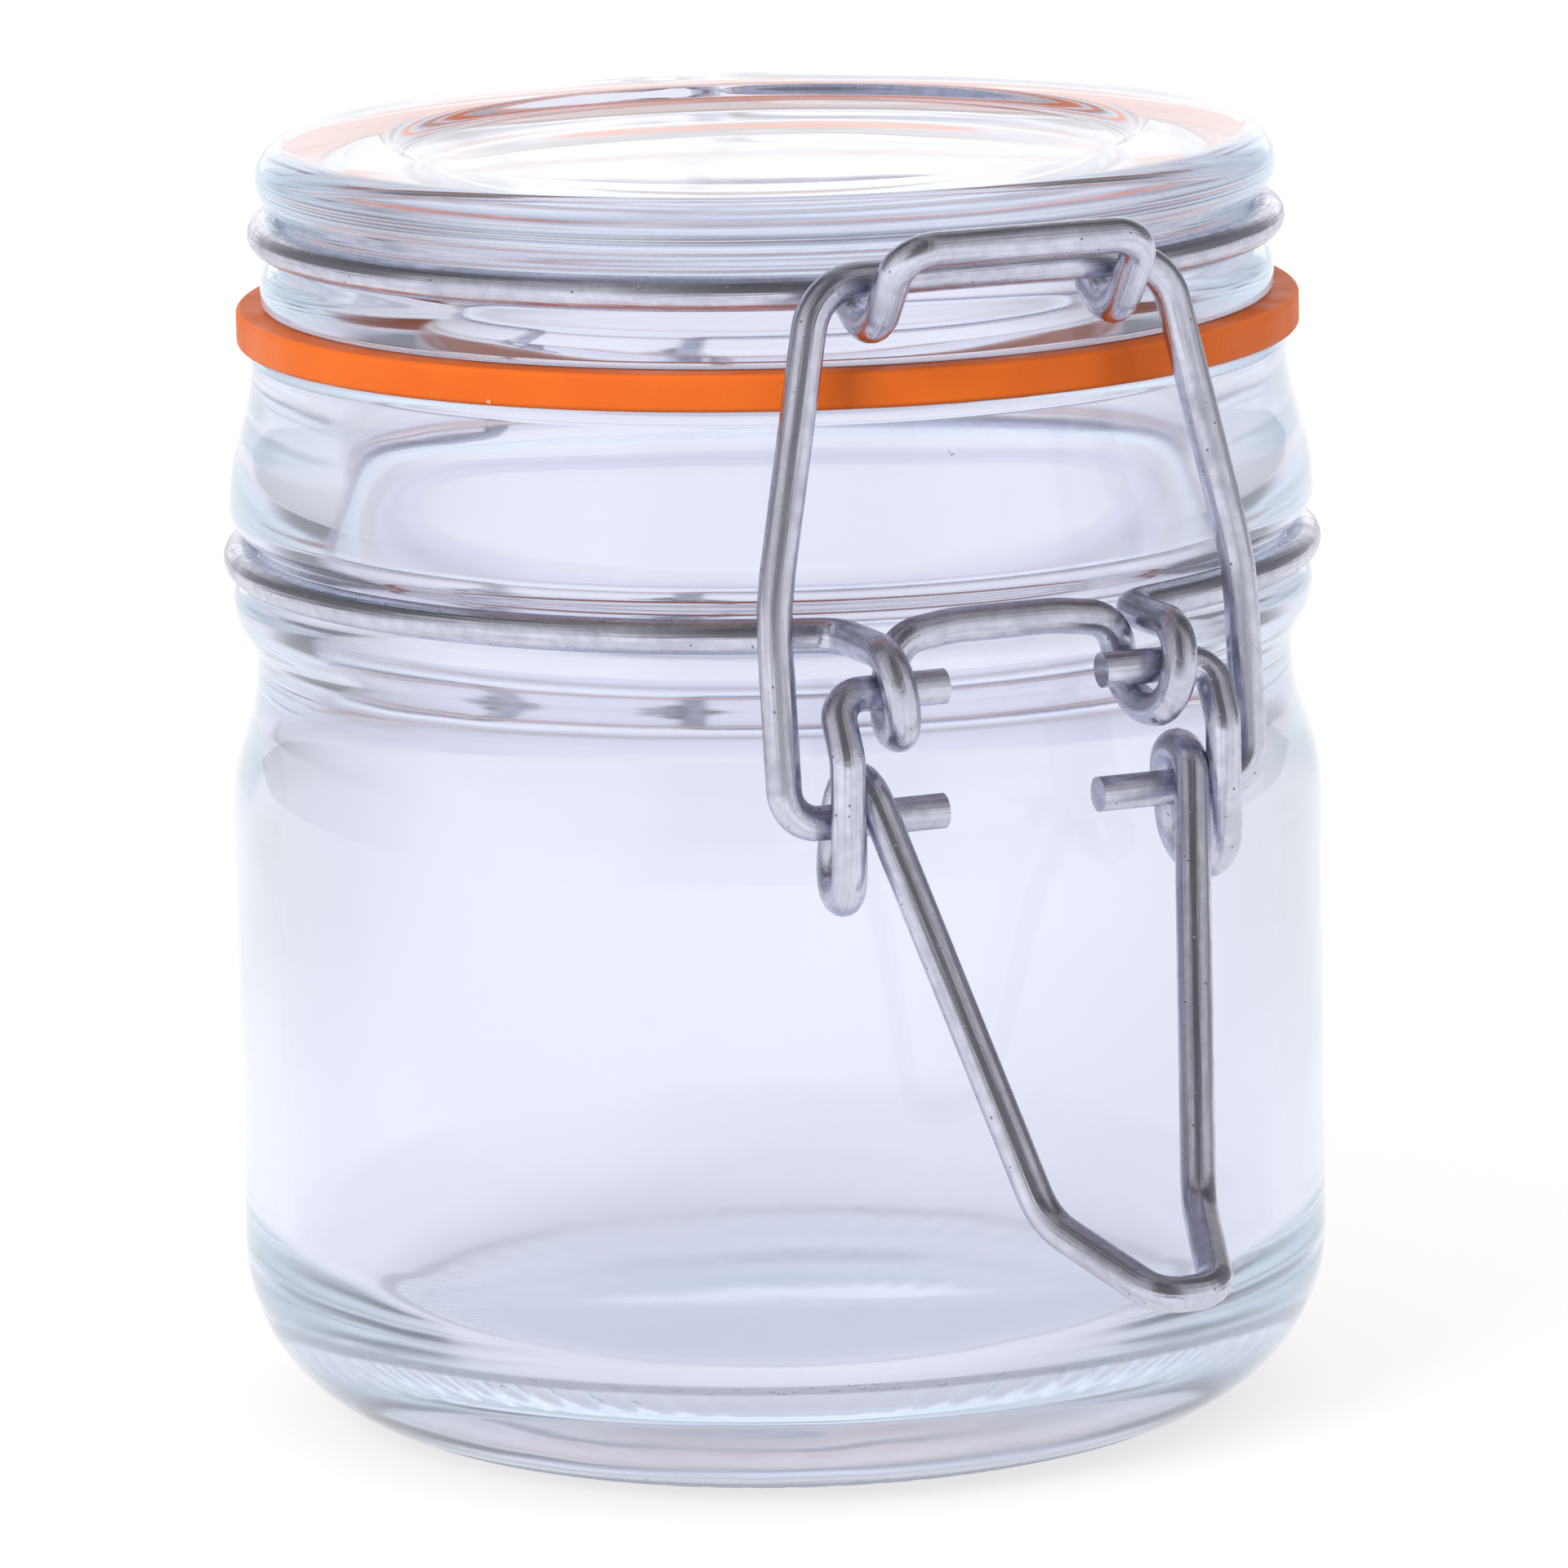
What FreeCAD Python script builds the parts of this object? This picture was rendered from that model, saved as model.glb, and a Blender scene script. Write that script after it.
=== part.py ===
"""Clip-top glass storage jar: a glass jar and lid, a rubber seal, and four bent wires.

Millimetres. The origin is the middle of the jar's underside, +Z is up, and the clasp faces -Y.
The wires' own ends are the pivots: the lever turns in the neck wire's front eyes, the bail turns
in the lever's loops, and the lid wire turns in the neck wire's back eyes.
"""
import FreeCAD, Part
import math
import os
from types import SimpleNamespace

import Sketcher
from FreeCAD import Vector

DIMENSIONS = {
    # jar, outside: radii are set in from the body's, and heights drop from the rim's
    "body_radius": 40.0,
    "heel_radius": 12.5,
    "rim_height": 79.2,
    "body_top_drop": 34.2,
    "waist_inset": 2.1,
    "waist_drop": 23.2,
    "neck_wire_drop": 15.4,
    "bead_inset": 0.5,
    "bead_below_wire": 2.9,
    "shoulder_inset": 0.4,
    "shoulder_above_wire": 3.8,
    "rim_inset": 2.3,
    "rim_rounding": 0.9,
    # jar, inside and underneath
    "wall_thickness": 3.2,
    "floor_thickness": 7.0,
    "floor_rounding": 9.0,
    "mouth_wall": 4.7,
    "mouth_length": 16.0,
    "foot_width": 5.5,
    "push_up_depth": 1.8,
    "push_up_slope": 3.0,
    # rubber seal, on the rim and round the lid's plug
    "seal_overhang": 1.0,
    "seal_lip": 0.8,
    "seal_thickness": 2.7,
    "seal_edge_rounding": 0.4,
    "seal_gap": 0.3,
    # lid
    "lid_flange_inset": 0.8,
    "lid_flange_height": 1.4,
    "lid_bead_overhang": 0.2,
    "lid_bead_rise": 4.0,
    "lid_edge_rounding": 2.5,
    "lid_edge_width": 9.6,
    "lid_dish_depth": 0.9,
    "lid_dish_slope": 1.6,
    "plug_clearance": 0.9,
    "plug_depth": 5.0,
    "plug_draft": 0.5,
    "plug_wall": 5.0,
    "lid_thickness": 6.0,
    # wires
    "wire_diameter": 2.5,
    "groove_clearance": 0.1,
    "bend_radius": 2.5,
    "lid_wire_rise": 5.3,
    # clasp pivots, in front of the body and of the lid
    "lever_pivot_gap": 4.0,
    "bail_pivot_setback": 0.6,
    "bail_pivot_drop": 8.9,
    "bail_bar_clearance": 1.15,
    "bail_bar_rise": 1.4,
    # neck wire eyes and the bridge between them
    "eye_spacing": 19.4,
    "eye_pitch": 2.6,
    "eye_clearance": 0.5,
    "eye_lead": 5.0,
    "eye_straight": 0.1,
    "bridge_width": 8.0,
    "bridge_rise": 0.6,
    "bridge_bend": 12.0,
    # lever
    "lever_pin_stick_out": 1.15,
    "lever_pin_bend": 2.0,
    "lever_side_clearance": 0.8,
    "lever_elbow_drop": 4.0,
    "loop_gap": 0.3,
    "loop_length": 2.6,
    "loop_pitch": 2.0,
    "handle_lean_angle": 26.0,
    "handle_length": 32.0,
    "handle_bend": 5.0,
    "handle_end_width": 11.6,
    "lip_length": 11.0,
    "lip_lean_angle": 72.0,
    "lip_end_width": 4.4,
    "lip_bend": 2.5,
    # bail
    "bail_pin_end": 5.9,
    "bail_side_clearance": 1.0,
    "bail_bar_side_clearance": 1.5,
    "bail_straight": 15.0,
    "bail_knee_bend": 25.0,
    "bail_corner_bend": 4.0,
    # lid nose
    "nose_width": 18.4,
    "nose_lead": 4.0,
    "nose_elbow_bend": 2.125,
    "nose_hook_clearance": 0.75,
    "nose_lip_reach": 5.9,
    "nose_lip_rise": 2.6,
    # back hinge
    "riser_clearance": 0.43,
    "hinge_drop": 3.6,
    "hinge_eye_spacing": 18.4,
    "hinge_side_clearance": 1.6,
    "hinge_pin_end": 5.6,
    "hinge_leg_lead": 10.0,
    "hinge_leg_drop": 1.5,
    "hinge_eye_tail": 0.3,
}

SHORTEST_RUN = 1e-5
VOLUME_TOLERANCE = 0.002
# Where the nose's hook turns below the bar, in hook radii
HOOK_DEPTH = 1.35
HOOK_FORWARD = 0.2


class Size(float):
    """A number that remembers the expression it was worked out with."""

    def __new__(cls, value, text):
        size = super().__new__(cls, value)
        size.text = text
        return size

    def joined(self, value, sign, other):
        return Size(value, "(%s %s %s)" % (self.text, sign, text_of(other)))

    def __add__(self, other):
        return self.joined(float(self) + float(other), "+", other)

    def __sub__(self, other):
        return self.joined(float(self) - float(other), "-", other)

    def __mul__(self, other):
        return self.joined(float(self) * float(other), "*", other)

    def __truediv__(self, other):
        return self.joined(float(self) / float(other), "/", other)


def text_of(number):
    return getattr(number, "text", repr(float(number)))


doc = FreeCAD.newDocument("clip_top_jar")


def dimension_sheet():
    """Write the driving dimensions to a sheet and give them back by name."""
    sheet = doc.addObject("Spreadsheet::Sheet", "Dimensions")
    sizes = {}
    for row, (name, value) in enumerate(DIMENSIONS.items(), start=1):
        sheet.set("A%d" % row, name)
        sheet.set("B%d" % row, str(value))
        sheet.setAlias("B%d" % row, name)
    doc.recompute()
    for name in DIMENSIONS:
        sizes[name] = Size(sheet.get(name), "Dimensions." + name)
    return SimpleNamespace(**sizes)


d = dimension_sheet()

# Places that several pieces share
wire_radius = d.wire_diameter / 2
seat_radius = wire_radius + d.groove_clearance
eye_radius = d.wire_diameter + d.eye_clearance
loop_radius = d.wire_diameter + d.loop_gap
neck_wire_height = d.rim_height - d.neck_wire_drop
hinge_height = d.rim_height - d.hinge_drop
seal_bottom = d.rim_height + d.seal_gap
seal_top = seal_bottom + d.seal_thickness
lid_wire_height = seal_top + d.lid_wire_rise
bead_radius = d.body_radius - d.bead_inset
shoulder_radius = d.body_radius - d.shoulder_inset
rim_radius = d.body_radius - d.rim_inset
mouth_radius = rim_radius - d.mouth_wall
seal_bore_radius = mouth_radius - d.seal_lip
lid_flange_radius = rim_radius - d.lid_flange_inset
lid_bead_radius = lid_flange_radius + d.lid_bead_overhang
neck_wire_radius = bead_radius - wire_radius / 2
lid_wire_radius = lid_bead_radius - wire_radius / 2

# Pivots and the bail's bar: height, and distance in front of or behind the jar's axis
lever_pivot_height = neck_wire_height - eye_radius
lever_pivot_reach = d.body_radius + d.lever_pivot_gap
bail_pivot_height = lever_pivot_height - d.bail_pivot_drop
bail_pivot_reach = lever_pivot_reach - d.bail_pivot_setback
bail_bar_height = lid_wire_height + d.bail_bar_rise
bail_bar_reach = lid_bead_radius + wire_radius + d.bail_bar_clearance
hinge_eye_side = d.hinge_eye_spacing / 2
shoulder_reach = math.sqrt(shoulder_radius ** 2 - hinge_eye_side ** 2)
riser_reach = shoulder_reach + wire_radius + d.riser_clearance
hinge_reach = riser_reach + eye_radius

# How far each wire stands to the side, from the eyes outwards
eye_outer_side = (d.eye_spacing + d.eye_pitch) / 2
eye_inner_side = (d.eye_spacing - d.eye_pitch) / 2
lever_pin_end = eye_inner_side - wire_radius - d.lever_pin_stick_out
lever_side = eye_outer_side + d.wire_diameter + d.lever_side_clearance
bail_side = lever_side + d.wire_diameter + d.bail_side_clearance
nose_side = d.nose_width / 2
bail_bar_side = nose_side + d.wire_diameter + d.bail_bar_side_clearance
hinge_leg_side = hinge_eye_side + d.wire_diameter + d.hinge_side_clearance


class Outline:
    """A closed half section in a sketch: X is the radius and Y is the height.

    Every corner is held by two distances bound to the dimensions. An arc's centre is level with
    one of its ends, so that the glass stands upright there.
    """

    def __init__(self, body, name):
        self.sketch = body.newObject("Sketcher::SketchObject", name)
        plane = [f for f in body.Origin.OriginFeatures if f.Role == "XZ_Plane"][0]
        self.sketch.AttachmentSupport = (plane, [""])
        self.sketch.MapMode = "FlatFace"
        self.first = None
        self.place = None
        self.last = None

    def start(self, radius, height):
        self.first = (radius, height)
        self.place = (radius, height)

    def hold(self, index, end, radius, height):
        axes = (("DistanceX", radius, "Vertical"), ("DistanceY", height, "Horizontal"))
        for kind, size, aligned in axes:
            if float(size) == 0:
                self.sketch.addConstraint(Sketcher.Constraint(aligned, -1, 1, index, end))
                continue
            number = self.sketch.addConstraint(
                Sketcher.Constraint(kind, -1, 1, index, end, float(size)))
            if hasattr(size, "text"):
                self.sketch.setExpression("Constraints[%d]" % number, size.text)

    def join(self, index, begin, finish, radius, height):
        if self.last is None:
            self.hold(index, begin, *self.place)
            self.opening = (index, begin)
        else:
            self.sketch.addConstraint(Sketcher.Constraint("Coincident", *self.last, index, begin))
        if (radius, height) == self.first:
            self.sketch.addConstraint(
                Sketcher.Constraint("Coincident", index, finish, *self.opening))
        else:
            self.hold(index, finish, radius, height)
        self.last = (index, finish)
        self.place = (radius, height)

    def line(self, radius, height):
        segment = Part.LineSegment(Vector(*self.place, 0), Vector(radius, height, 0))
        self.join(self.sketch.addGeometry(segment), 1, 2, radius, height)

    def arc(self, radius, height, level_with_start):
        here = Vector(*self.place, 0)
        there = Vector(radius, height, 0)
        level, other = (here, there) if level_with_start else (there, here)
        rise = other.y - level.y
        centre_x = (other.x ** 2 - level.x ** 2 + rise ** 2) / (2 * (other.x - level.x))
        centre = Vector(centre_x, level.y, 0)
        clockwise = (here - centre).cross(there - centre).z < 0
        begin, finish = (2, 1) if clockwise else (1, 2)
        ends = (there, here) if clockwise else (here, there)
        angles = [math.atan2(end.y - centre.y, end.x - centre.x) for end in ends]
        circle = Part.Circle(centre, Vector(0, 0, 1), (here - centre).Length)
        index = self.sketch.addGeometry(Part.ArcOfCircle(circle, *angles))
        self.join(index, begin, finish, radius, height)
        level_end = begin if level_with_start else finish
        self.sketch.addConstraint(Sketcher.Constraint("Horizontal", index, 3, index, level_end))

    def swell(self, radius, height):
        """Two equal arcs from one upright point of the glass to the next."""
        middle_radius = (self.place[0] + radius) / 2
        middle_height = (self.place[1] + height) / 2
        self.arc(middle_radius, middle_height, True)
        self.arc(radius, height, False)

    def close(self):
        self.line(*self.first)


def turned_body(label, draw):
    """A body turned about the jar's axis from the section that draw gives."""
    body = doc.addObject("PartDesign::Body", label)
    body.Label = label
    outline = Outline(body, label + "_section")
    draw(outline)
    doc.recompute()
    turn = body.newObject("PartDesign::Revolution", label + "_turn")
    turn.Profile = outline.sketch
    turn.ReferenceAxis = (outline.sketch, ["V_Axis"])
    turn.Angle = 360.0
    body.Tip = turn
    return body


def jar_section(o):
    inner_radius = d.body_radius - d.wall_thickness
    body_top_height = d.rim_height - d.body_top_drop
    foot_radius = d.body_radius - d.heel_radius
    push_up_edge = foot_radius - d.foot_width
    push_up_radius = push_up_edge - d.push_up_slope
    o.start(0.0, d.push_up_depth)
    o.line(push_up_radius, d.push_up_depth)
    o.line(push_up_edge, 0.0)
    o.line(foot_radius, 0.0)
    o.arc(d.body_radius, d.heel_radius, False)
    o.line(d.body_radius, body_top_height)
    o.swell(d.body_radius - d.waist_inset, d.rim_height - d.waist_drop)
    o.swell(bead_radius, neck_wire_height - d.bead_below_wire)
    o.swell(neck_wire_radius - seat_radius, neck_wire_height)
    o.swell(shoulder_radius, neck_wire_height + d.shoulder_above_wire)
    o.swell(rim_radius, d.rim_height - d.rim_rounding)
    o.arc(rim_radius - d.rim_rounding, d.rim_height, True)
    o.line(mouth_radius + d.rim_rounding, d.rim_height)
    o.arc(mouth_radius, d.rim_height - d.rim_rounding, False)
    o.line(mouth_radius, d.rim_height - d.mouth_length)
    o.swell(inner_radius, body_top_height)
    o.line(inner_radius, d.floor_thickness + d.floor_rounding)
    o.arc(inner_radius - d.floor_rounding, d.floor_thickness, True)
    o.line(0.0, d.floor_thickness)
    o.close()


def lid_section(o):
    bead_height = lid_wire_height + d.lid_bead_rise
    top = bead_height + d.lid_edge_rounding
    dish_bottom = top - d.lid_dish_depth
    underside = dish_bottom - d.lid_thickness
    dish_radius = lid_bead_radius - d.lid_edge_width
    plug_bottom = seal_top - d.plug_depth
    plug_radius = seal_bore_radius - d.plug_clearance
    plug_tip_radius = plug_radius - d.plug_draft
    o.start(0.0, underside)
    o.line(plug_tip_radius - d.plug_wall - d.plug_draft, underside)
    o.line(plug_tip_radius - d.plug_wall, plug_bottom)
    o.line(plug_tip_radius, plug_bottom)
    o.line(plug_radius, seal_top)
    o.line(lid_flange_radius, seal_top)
    o.line(lid_flange_radius, seal_top + d.lid_flange_height)
    o.swell(lid_wire_radius - seat_radius, lid_wire_height)
    o.swell(lid_bead_radius, bead_height)
    o.arc(lid_bead_radius - d.lid_edge_rounding, top, True)
    o.line(dish_radius, top)
    o.line(dish_radius - d.lid_dish_slope, dish_bottom)
    o.line(0.0, dish_bottom)
    o.close()


def seal_section(o):
    rounding = d.seal_edge_rounding
    seal_radius = rim_radius + d.seal_overhang
    o.start(seal_bore_radius, seal_bottom)
    o.line(seal_radius - rounding, seal_bottom)
    o.arc(seal_radius, seal_bottom + rounding, False)
    o.line(seal_radius, seal_top - rounding)
    o.arc(seal_radius - rounding, seal_top, True)
    o.line(seal_bore_radius, seal_top)
    o.close()


def straight_run(here, there):
    """A straight edge, or none where one bend runs into the next."""
    if here.distanceToPoint(there) < SHORTEST_RUN:
        return []
    return [Part.LineSegment(here, there).toShape()]


class WirePath:
    """Straight runs joined by tangent arcs, through corner points that each have a bend radius."""

    def __init__(self):
        self.corners = []

    def to(self, point, radius=None):
        self.corners.append((Vector(*point), float(d.bend_radius if radius is None else radius)))

    def edges(self):
        edges = []
        here = self.corners[0][0]
        for before, corner, after in zip(self.corners, self.corners[1:], self.corners[2:]):
            point, radius = corner
            arrive = (point - before[0]).normalize()
            leave = (after[0] - point).normalize()
            turn = arrive.getAngle(leave)
            reach = radius * math.tan(turn / 2)
            begin = point - arrive * reach
            finish = point + leave * reach
            to_centre = (leave - arrive).normalize()
            centre = point + to_centre * (radius / math.cos(turn / 2))
            edges += straight_run(here, begin)
            edges.append(Part.Arc(begin, centre - to_centre * radius, finish).toShape())
            here = finish
        return edges + straight_run(here, self.corners[-1][0])


def ring_point(radius, angle, height):
    """A point of a ring on the left side, by its angle from the front."""
    return Vector(-radius * math.sin(angle), -radius * math.cos(angle), height)


def ring_way(angle):
    """The way round the left side of a ring, from the front to the back."""
    return Vector(-math.cos(angle), math.sin(angle), 0)


def ring_arc(radius, height, first_angle, last_angle):
    middle = ring_point(radius, (first_angle + last_angle) / 2, height)
    ends = [ring_point(radius, angle, height) for angle in (first_angle, last_angle)]
    return Part.Arc(ends[0], middle, ends[1]).toShape()


def flipped(edges):
    """Edges of the left half, carried across to the right half."""
    return [edge.mirror(Vector(0, 0, 0), Vector(1, 0, 0)) for edge in edges]


def angle_to_reach(radius, lead, half_width):
    """Where a straight run of length lead leaves a ring, to arrive half_width from the middle."""
    return math.asin(half_width / math.hypot(radius, lead)) + math.atan2(lead, radius)


def wire_piece(label, edges):
    """A round wire swept along the edges, as one solid."""
    path = doc.addObject("Part::Feature", label + "_path")
    path.Shape = Part.Wire(Part.__sortEdges__(edges))
    first = path.Shape.OrderedEdges[0]
    section = doc.addObject("Part::Circle", label + "_section")
    section.setExpression("Radius", wire_radius.text)
    start = first.valueAt(first.FirstParameter)
    way = first.tangentAt(first.FirstParameter)
    section.Placement = FreeCAD.Placement(start, FreeCAD.Rotation(Vector(0, 0, 1), way))
    sweep = doc.addObject("Part::Sweep", label)
    sweep.Label = label
    sweep.Sections = [section]
    sweep.Spine = (path, ["Edge%d" % (n + 1) for n in range(len(path.Shape.Edges))])
    sweep.Solid = True
    sweep.Frenet = False
    return sweep


def neck_wire_edges():
    """A ring in the neck groove, with an eye each side at the front and each side at the back."""
    height = neck_wire_height
    front = -(lever_pivot_reach + eye_radius)
    back = -(lever_pivot_reach - eye_radius)
    low = height - 2 * eye_radius
    turn_radius = eye_radius - d.eye_straight
    front_angle = angle_to_reach(neck_wire_radius, d.eye_lead, eye_outer_side)
    elbow = ring_point(neck_wire_radius, front_angle, height) - ring_way(front_angle) * d.eye_lead
    eye = WirePath()
    eye.to(ring_point(neck_wire_radius, front_angle, height))
    eye.to(elbow)
    eye.to((-eye_outer_side, front, height), turn_radius)
    eye.to((-eye_outer_side + d.eye_pitch / 3, front, low), turn_radius)
    eye.to((-eye_inner_side - d.eye_pitch / 3, back, low), turn_radius)
    eye.to((-eye_inner_side, back, height), d.wire_diameter)
    eye.to((-d.bridge_width / 2, back, height + d.bridge_rise), d.bridge_bend)
    eye.to((0, back, height + d.bridge_rise))
    tail = math.sqrt(hinge_eye_side ** 2 + riser_reach ** 2 - neck_wire_radius ** 2)
    back_angle = math.pi - angle_to_reach(neck_wire_radius, tail, hinge_eye_side)
    top = hinge_height + eye_radius
    bottom = hinge_height - eye_radius
    far = hinge_reach + eye_radius
    hinge = WirePath()
    hinge.to(ring_point(neck_wire_radius, back_angle, height))
    hinge.to((-hinge_eye_side, riser_reach, height))
    hinge.to((-hinge_eye_side, riser_reach, top), turn_radius)
    hinge.to((-hinge_eye_side, far, top), turn_radius)
    hinge.to((-hinge_eye_side, far, bottom), turn_radius)
    hinge.to((-hinge_eye_side, hinge_reach - d.hinge_eye_tail, bottom))
    half = eye.edges() + hinge.edges()
    half.append(ring_arc(neck_wire_radius, height, front_angle, back_angle))
    return half + flipped(half)


def lid_wire_edges():
    """A ring in the lid's groove, with the nose at the front and the hinge ends at the back."""
    height = lid_wire_height
    nose_angle = angle_to_reach(lid_wire_radius, d.nose_lead, nose_side)
    elbow = ring_point(lid_wire_radius, nose_angle, height) - ring_way(nose_angle) * d.nose_lead
    hook_radius = d.wire_diameter + d.nose_hook_clearance
    hook_y = -(bail_bar_reach + HOOK_FORWARD * hook_radius)
    lip_y = -(bail_bar_reach + d.nose_lip_reach)
    lip_height = bail_bar_height + d.nose_lip_rise
    nose = WirePath()
    nose.to(ring_point(lid_wire_radius, nose_angle, height))
    nose.to(elbow, d.nose_elbow_bend)
    nose.to((-nose_side, hook_y, bail_bar_height - HOOK_DEPTH * hook_radius), hook_radius)
    nose.to((-nose_side, lip_y, lip_height))
    nose.to((0, lip_y, lip_height))
    lead = d.hinge_leg_lead
    back_angle = math.pi - angle_to_reach(lid_wire_radius, lead, hinge_leg_side)
    corner = ring_point(lid_wire_radius, back_angle, height) + ring_way(back_angle) * lead
    hinge = WirePath()
    hinge.to(ring_point(lid_wire_radius, back_angle, height))
    hinge.to(corner)
    hinge.to((-hinge_leg_side, hinge_reach, height - d.hinge_leg_drop))
    hinge.to((-hinge_leg_side, hinge_reach, hinge_height))
    hinge.to((-d.hinge_pin_end, hinge_reach, hinge_height))
    half = nose.edges() + hinge.edges()
    half.append(ring_arc(lid_wire_radius, height, nose_angle, back_angle))
    return half + flipped(half)


def lever_wire_edges():
    """Pins in the neck wire's eyes, loops round the bail's pins, and a handle with a lip."""
    inner = -(lever_side - d.loop_pitch)
    turn_radius = loop_radius - d.eye_straight
    lean = math.radians(d.handle_lean_angle)
    lip_lean = math.radians(d.lip_lean_angle)
    front = -(bail_pivot_reach + loop_radius)
    back = -(bail_pivot_reach - loop_radius)
    top = bail_pivot_height + loop_radius
    bottom = bail_pivot_height - loop_radius - d.loop_length
    leg_top_reach = loop_radius * (1 - math.sin(lean)) / math.cos(lean)
    leg_start = Vector(inner, -(bail_pivot_reach + leg_top_reach), top)
    leg_end = leg_start + Vector(0, -math.sin(lean), -math.cos(lean)) * d.handle_length
    leg_end.x = -d.handle_end_width / 2
    lip_end = leg_end + Vector(0, -math.sin(lip_lean), -math.cos(lip_lean)) * d.lip_length
    lip_end.x = -d.lip_end_width / 2
    wire = WirePath()
    wire.to((-lever_pin_end, -lever_pivot_reach, lever_pivot_height))
    wire.to((-lever_side, -lever_pivot_reach, lever_pivot_height), d.lever_pin_bend)
    wire.to((-lever_side, front, lever_pivot_height - d.lever_elbow_drop))
    wire.to((-lever_side, front, bottom), turn_radius)
    wire.to((-lever_side + d.loop_pitch / 2, back, bottom), turn_radius)
    wire.to((inner, back, top), turn_radius)
    wire.to(leg_start, turn_radius)
    wire.to(leg_end, d.handle_bend)
    wire.to(lip_end, d.lip_bend)
    wire.to((0, lip_end.y, lip_end.z))
    half = wire.edges()
    return half + flipped(half)


def bail_wire_edges():
    """Pins in the lever's loops, two legs, and the bar that hooks into the lid's nose."""
    pin = Vector(-bail_side, -bail_pivot_reach, bail_pivot_height)
    bar = Vector(-bail_bar_side, -bail_bar_reach, bail_bar_height)
    share = d.bail_straight / (bar.z - pin.z)
    knee = Vector(pin.x, pin.y + share * (bar.y - pin.y), pin.z + d.bail_straight)
    wire = WirePath()
    wire.to((-d.bail_pin_end, pin.y, pin.z))
    wire.to(pin)
    wire.to(knee, d.bail_knee_bend)
    wire.to(bar, d.bail_corner_bend)
    wire.to((0, bar.y, bar.z))
    half = wire.edges()
    return half + flipped(half)


moulded = [
    turned_body("glass_jar", jar_section),
    turned_body("glass_lid", lid_section),
    turned_body("rubber_seal", seal_section),
]
wires = [
    wire_piece("neck_wire", neck_wire_edges()),
    wire_piece("lid_wire", lid_wire_edges()),
    wire_piece("lever_wire", lever_wire_edges()),
    wire_piece("bail_wire", bail_wire_edges()),
]
pieces = moulded + wires
doc.recompute()

for item in doc.Objects:
    if "Invalid" in item.State or "Error" in item.State:
        raise RuntimeError("%s failed: %s" % (item.Label, item.State))
for piece in pieces:
    shape = piece.Shape
    if shape.isNull() or not shape.isValid() or len(shape.Solids) != 1:
        raise RuntimeError("%s is not one valid solid" % piece.Label)

for piece in wires:
    drawn = math.pi * wire_radius ** 2 * piece.Spine[0].Shape.Length
    if abs(piece.Shape.Volume / drawn - 1) > VOLUME_TOLERANCE:
        raise RuntimeError("%s isn't its section times its length" % piece.Label)

os.makedirs("parts", exist_ok=True)
for piece in pieces:
    piece.Shape.exportStep("parts/%s.step" % piece.Label)
    box = piece.Shape.BoundBox
    size = (piece.Label, piece.Shape.Volume, box.ZMin, box.ZMax)
    print("%-12s %9.1f mm3, height %.1f to %.1f" % size)
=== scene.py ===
# %% [markdown]
# A clip-top glass jar: clear moulded glass, an orange rubber ring and four bent steel wires.
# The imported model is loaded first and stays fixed. It holds every size and every pivot, so each
# piece made below is drawn from the same sizes, in the same place, and then rides on its body.

# %% Load the frame
import math

import bpy
from mathutils import Matrix, Vector


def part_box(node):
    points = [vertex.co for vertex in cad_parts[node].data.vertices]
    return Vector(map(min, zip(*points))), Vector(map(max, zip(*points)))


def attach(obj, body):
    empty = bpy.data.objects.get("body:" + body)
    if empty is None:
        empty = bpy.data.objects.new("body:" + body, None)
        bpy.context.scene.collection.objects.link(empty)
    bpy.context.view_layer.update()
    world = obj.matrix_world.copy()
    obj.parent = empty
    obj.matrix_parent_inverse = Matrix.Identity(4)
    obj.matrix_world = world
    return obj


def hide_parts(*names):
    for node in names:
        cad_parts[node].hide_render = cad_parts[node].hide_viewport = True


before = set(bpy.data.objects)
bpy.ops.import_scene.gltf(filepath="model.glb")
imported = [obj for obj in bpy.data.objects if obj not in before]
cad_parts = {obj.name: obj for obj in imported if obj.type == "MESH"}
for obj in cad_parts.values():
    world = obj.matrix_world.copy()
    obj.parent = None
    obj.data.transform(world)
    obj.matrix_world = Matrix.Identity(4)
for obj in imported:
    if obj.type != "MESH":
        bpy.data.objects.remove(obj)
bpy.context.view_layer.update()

MM = 0.001


def start_fresh():
    """Leave edit mode and select nothing, so that the next operator touches only its own piece."""
    if bpy.context.object and bpy.context.object.mode != "OBJECT":
        bpy.ops.object.mode_set(mode="OBJECT")
    bpy.ops.object.select_all(action="DESELECT")


# %% [markdown]
# The camera stands where the photographer stood: a little above the lid, with the clasp turned
# to the right, through a long lens. Such a lens keeps the jar's sides almost parallel. The
# distances were worked out from the ellipses of the lid, the seal and the neck wire.

# %% Camera
CAMERA_DISTANCE = 733.3 * MM
CAMERA_HEIGHT = 190.5 * MM
CAMERA_SIDE = math.radians(-23.0)
CAMERA_PITCH = math.radians(11.174)
CAMERA_PAN = math.radians(0.04)
CAMERA_ROLL = math.radians(1.156)
LENS_MM = 233.26
SENSOR_MM = 36.0
NEAREST_SEEN = 10 * MM

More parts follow.
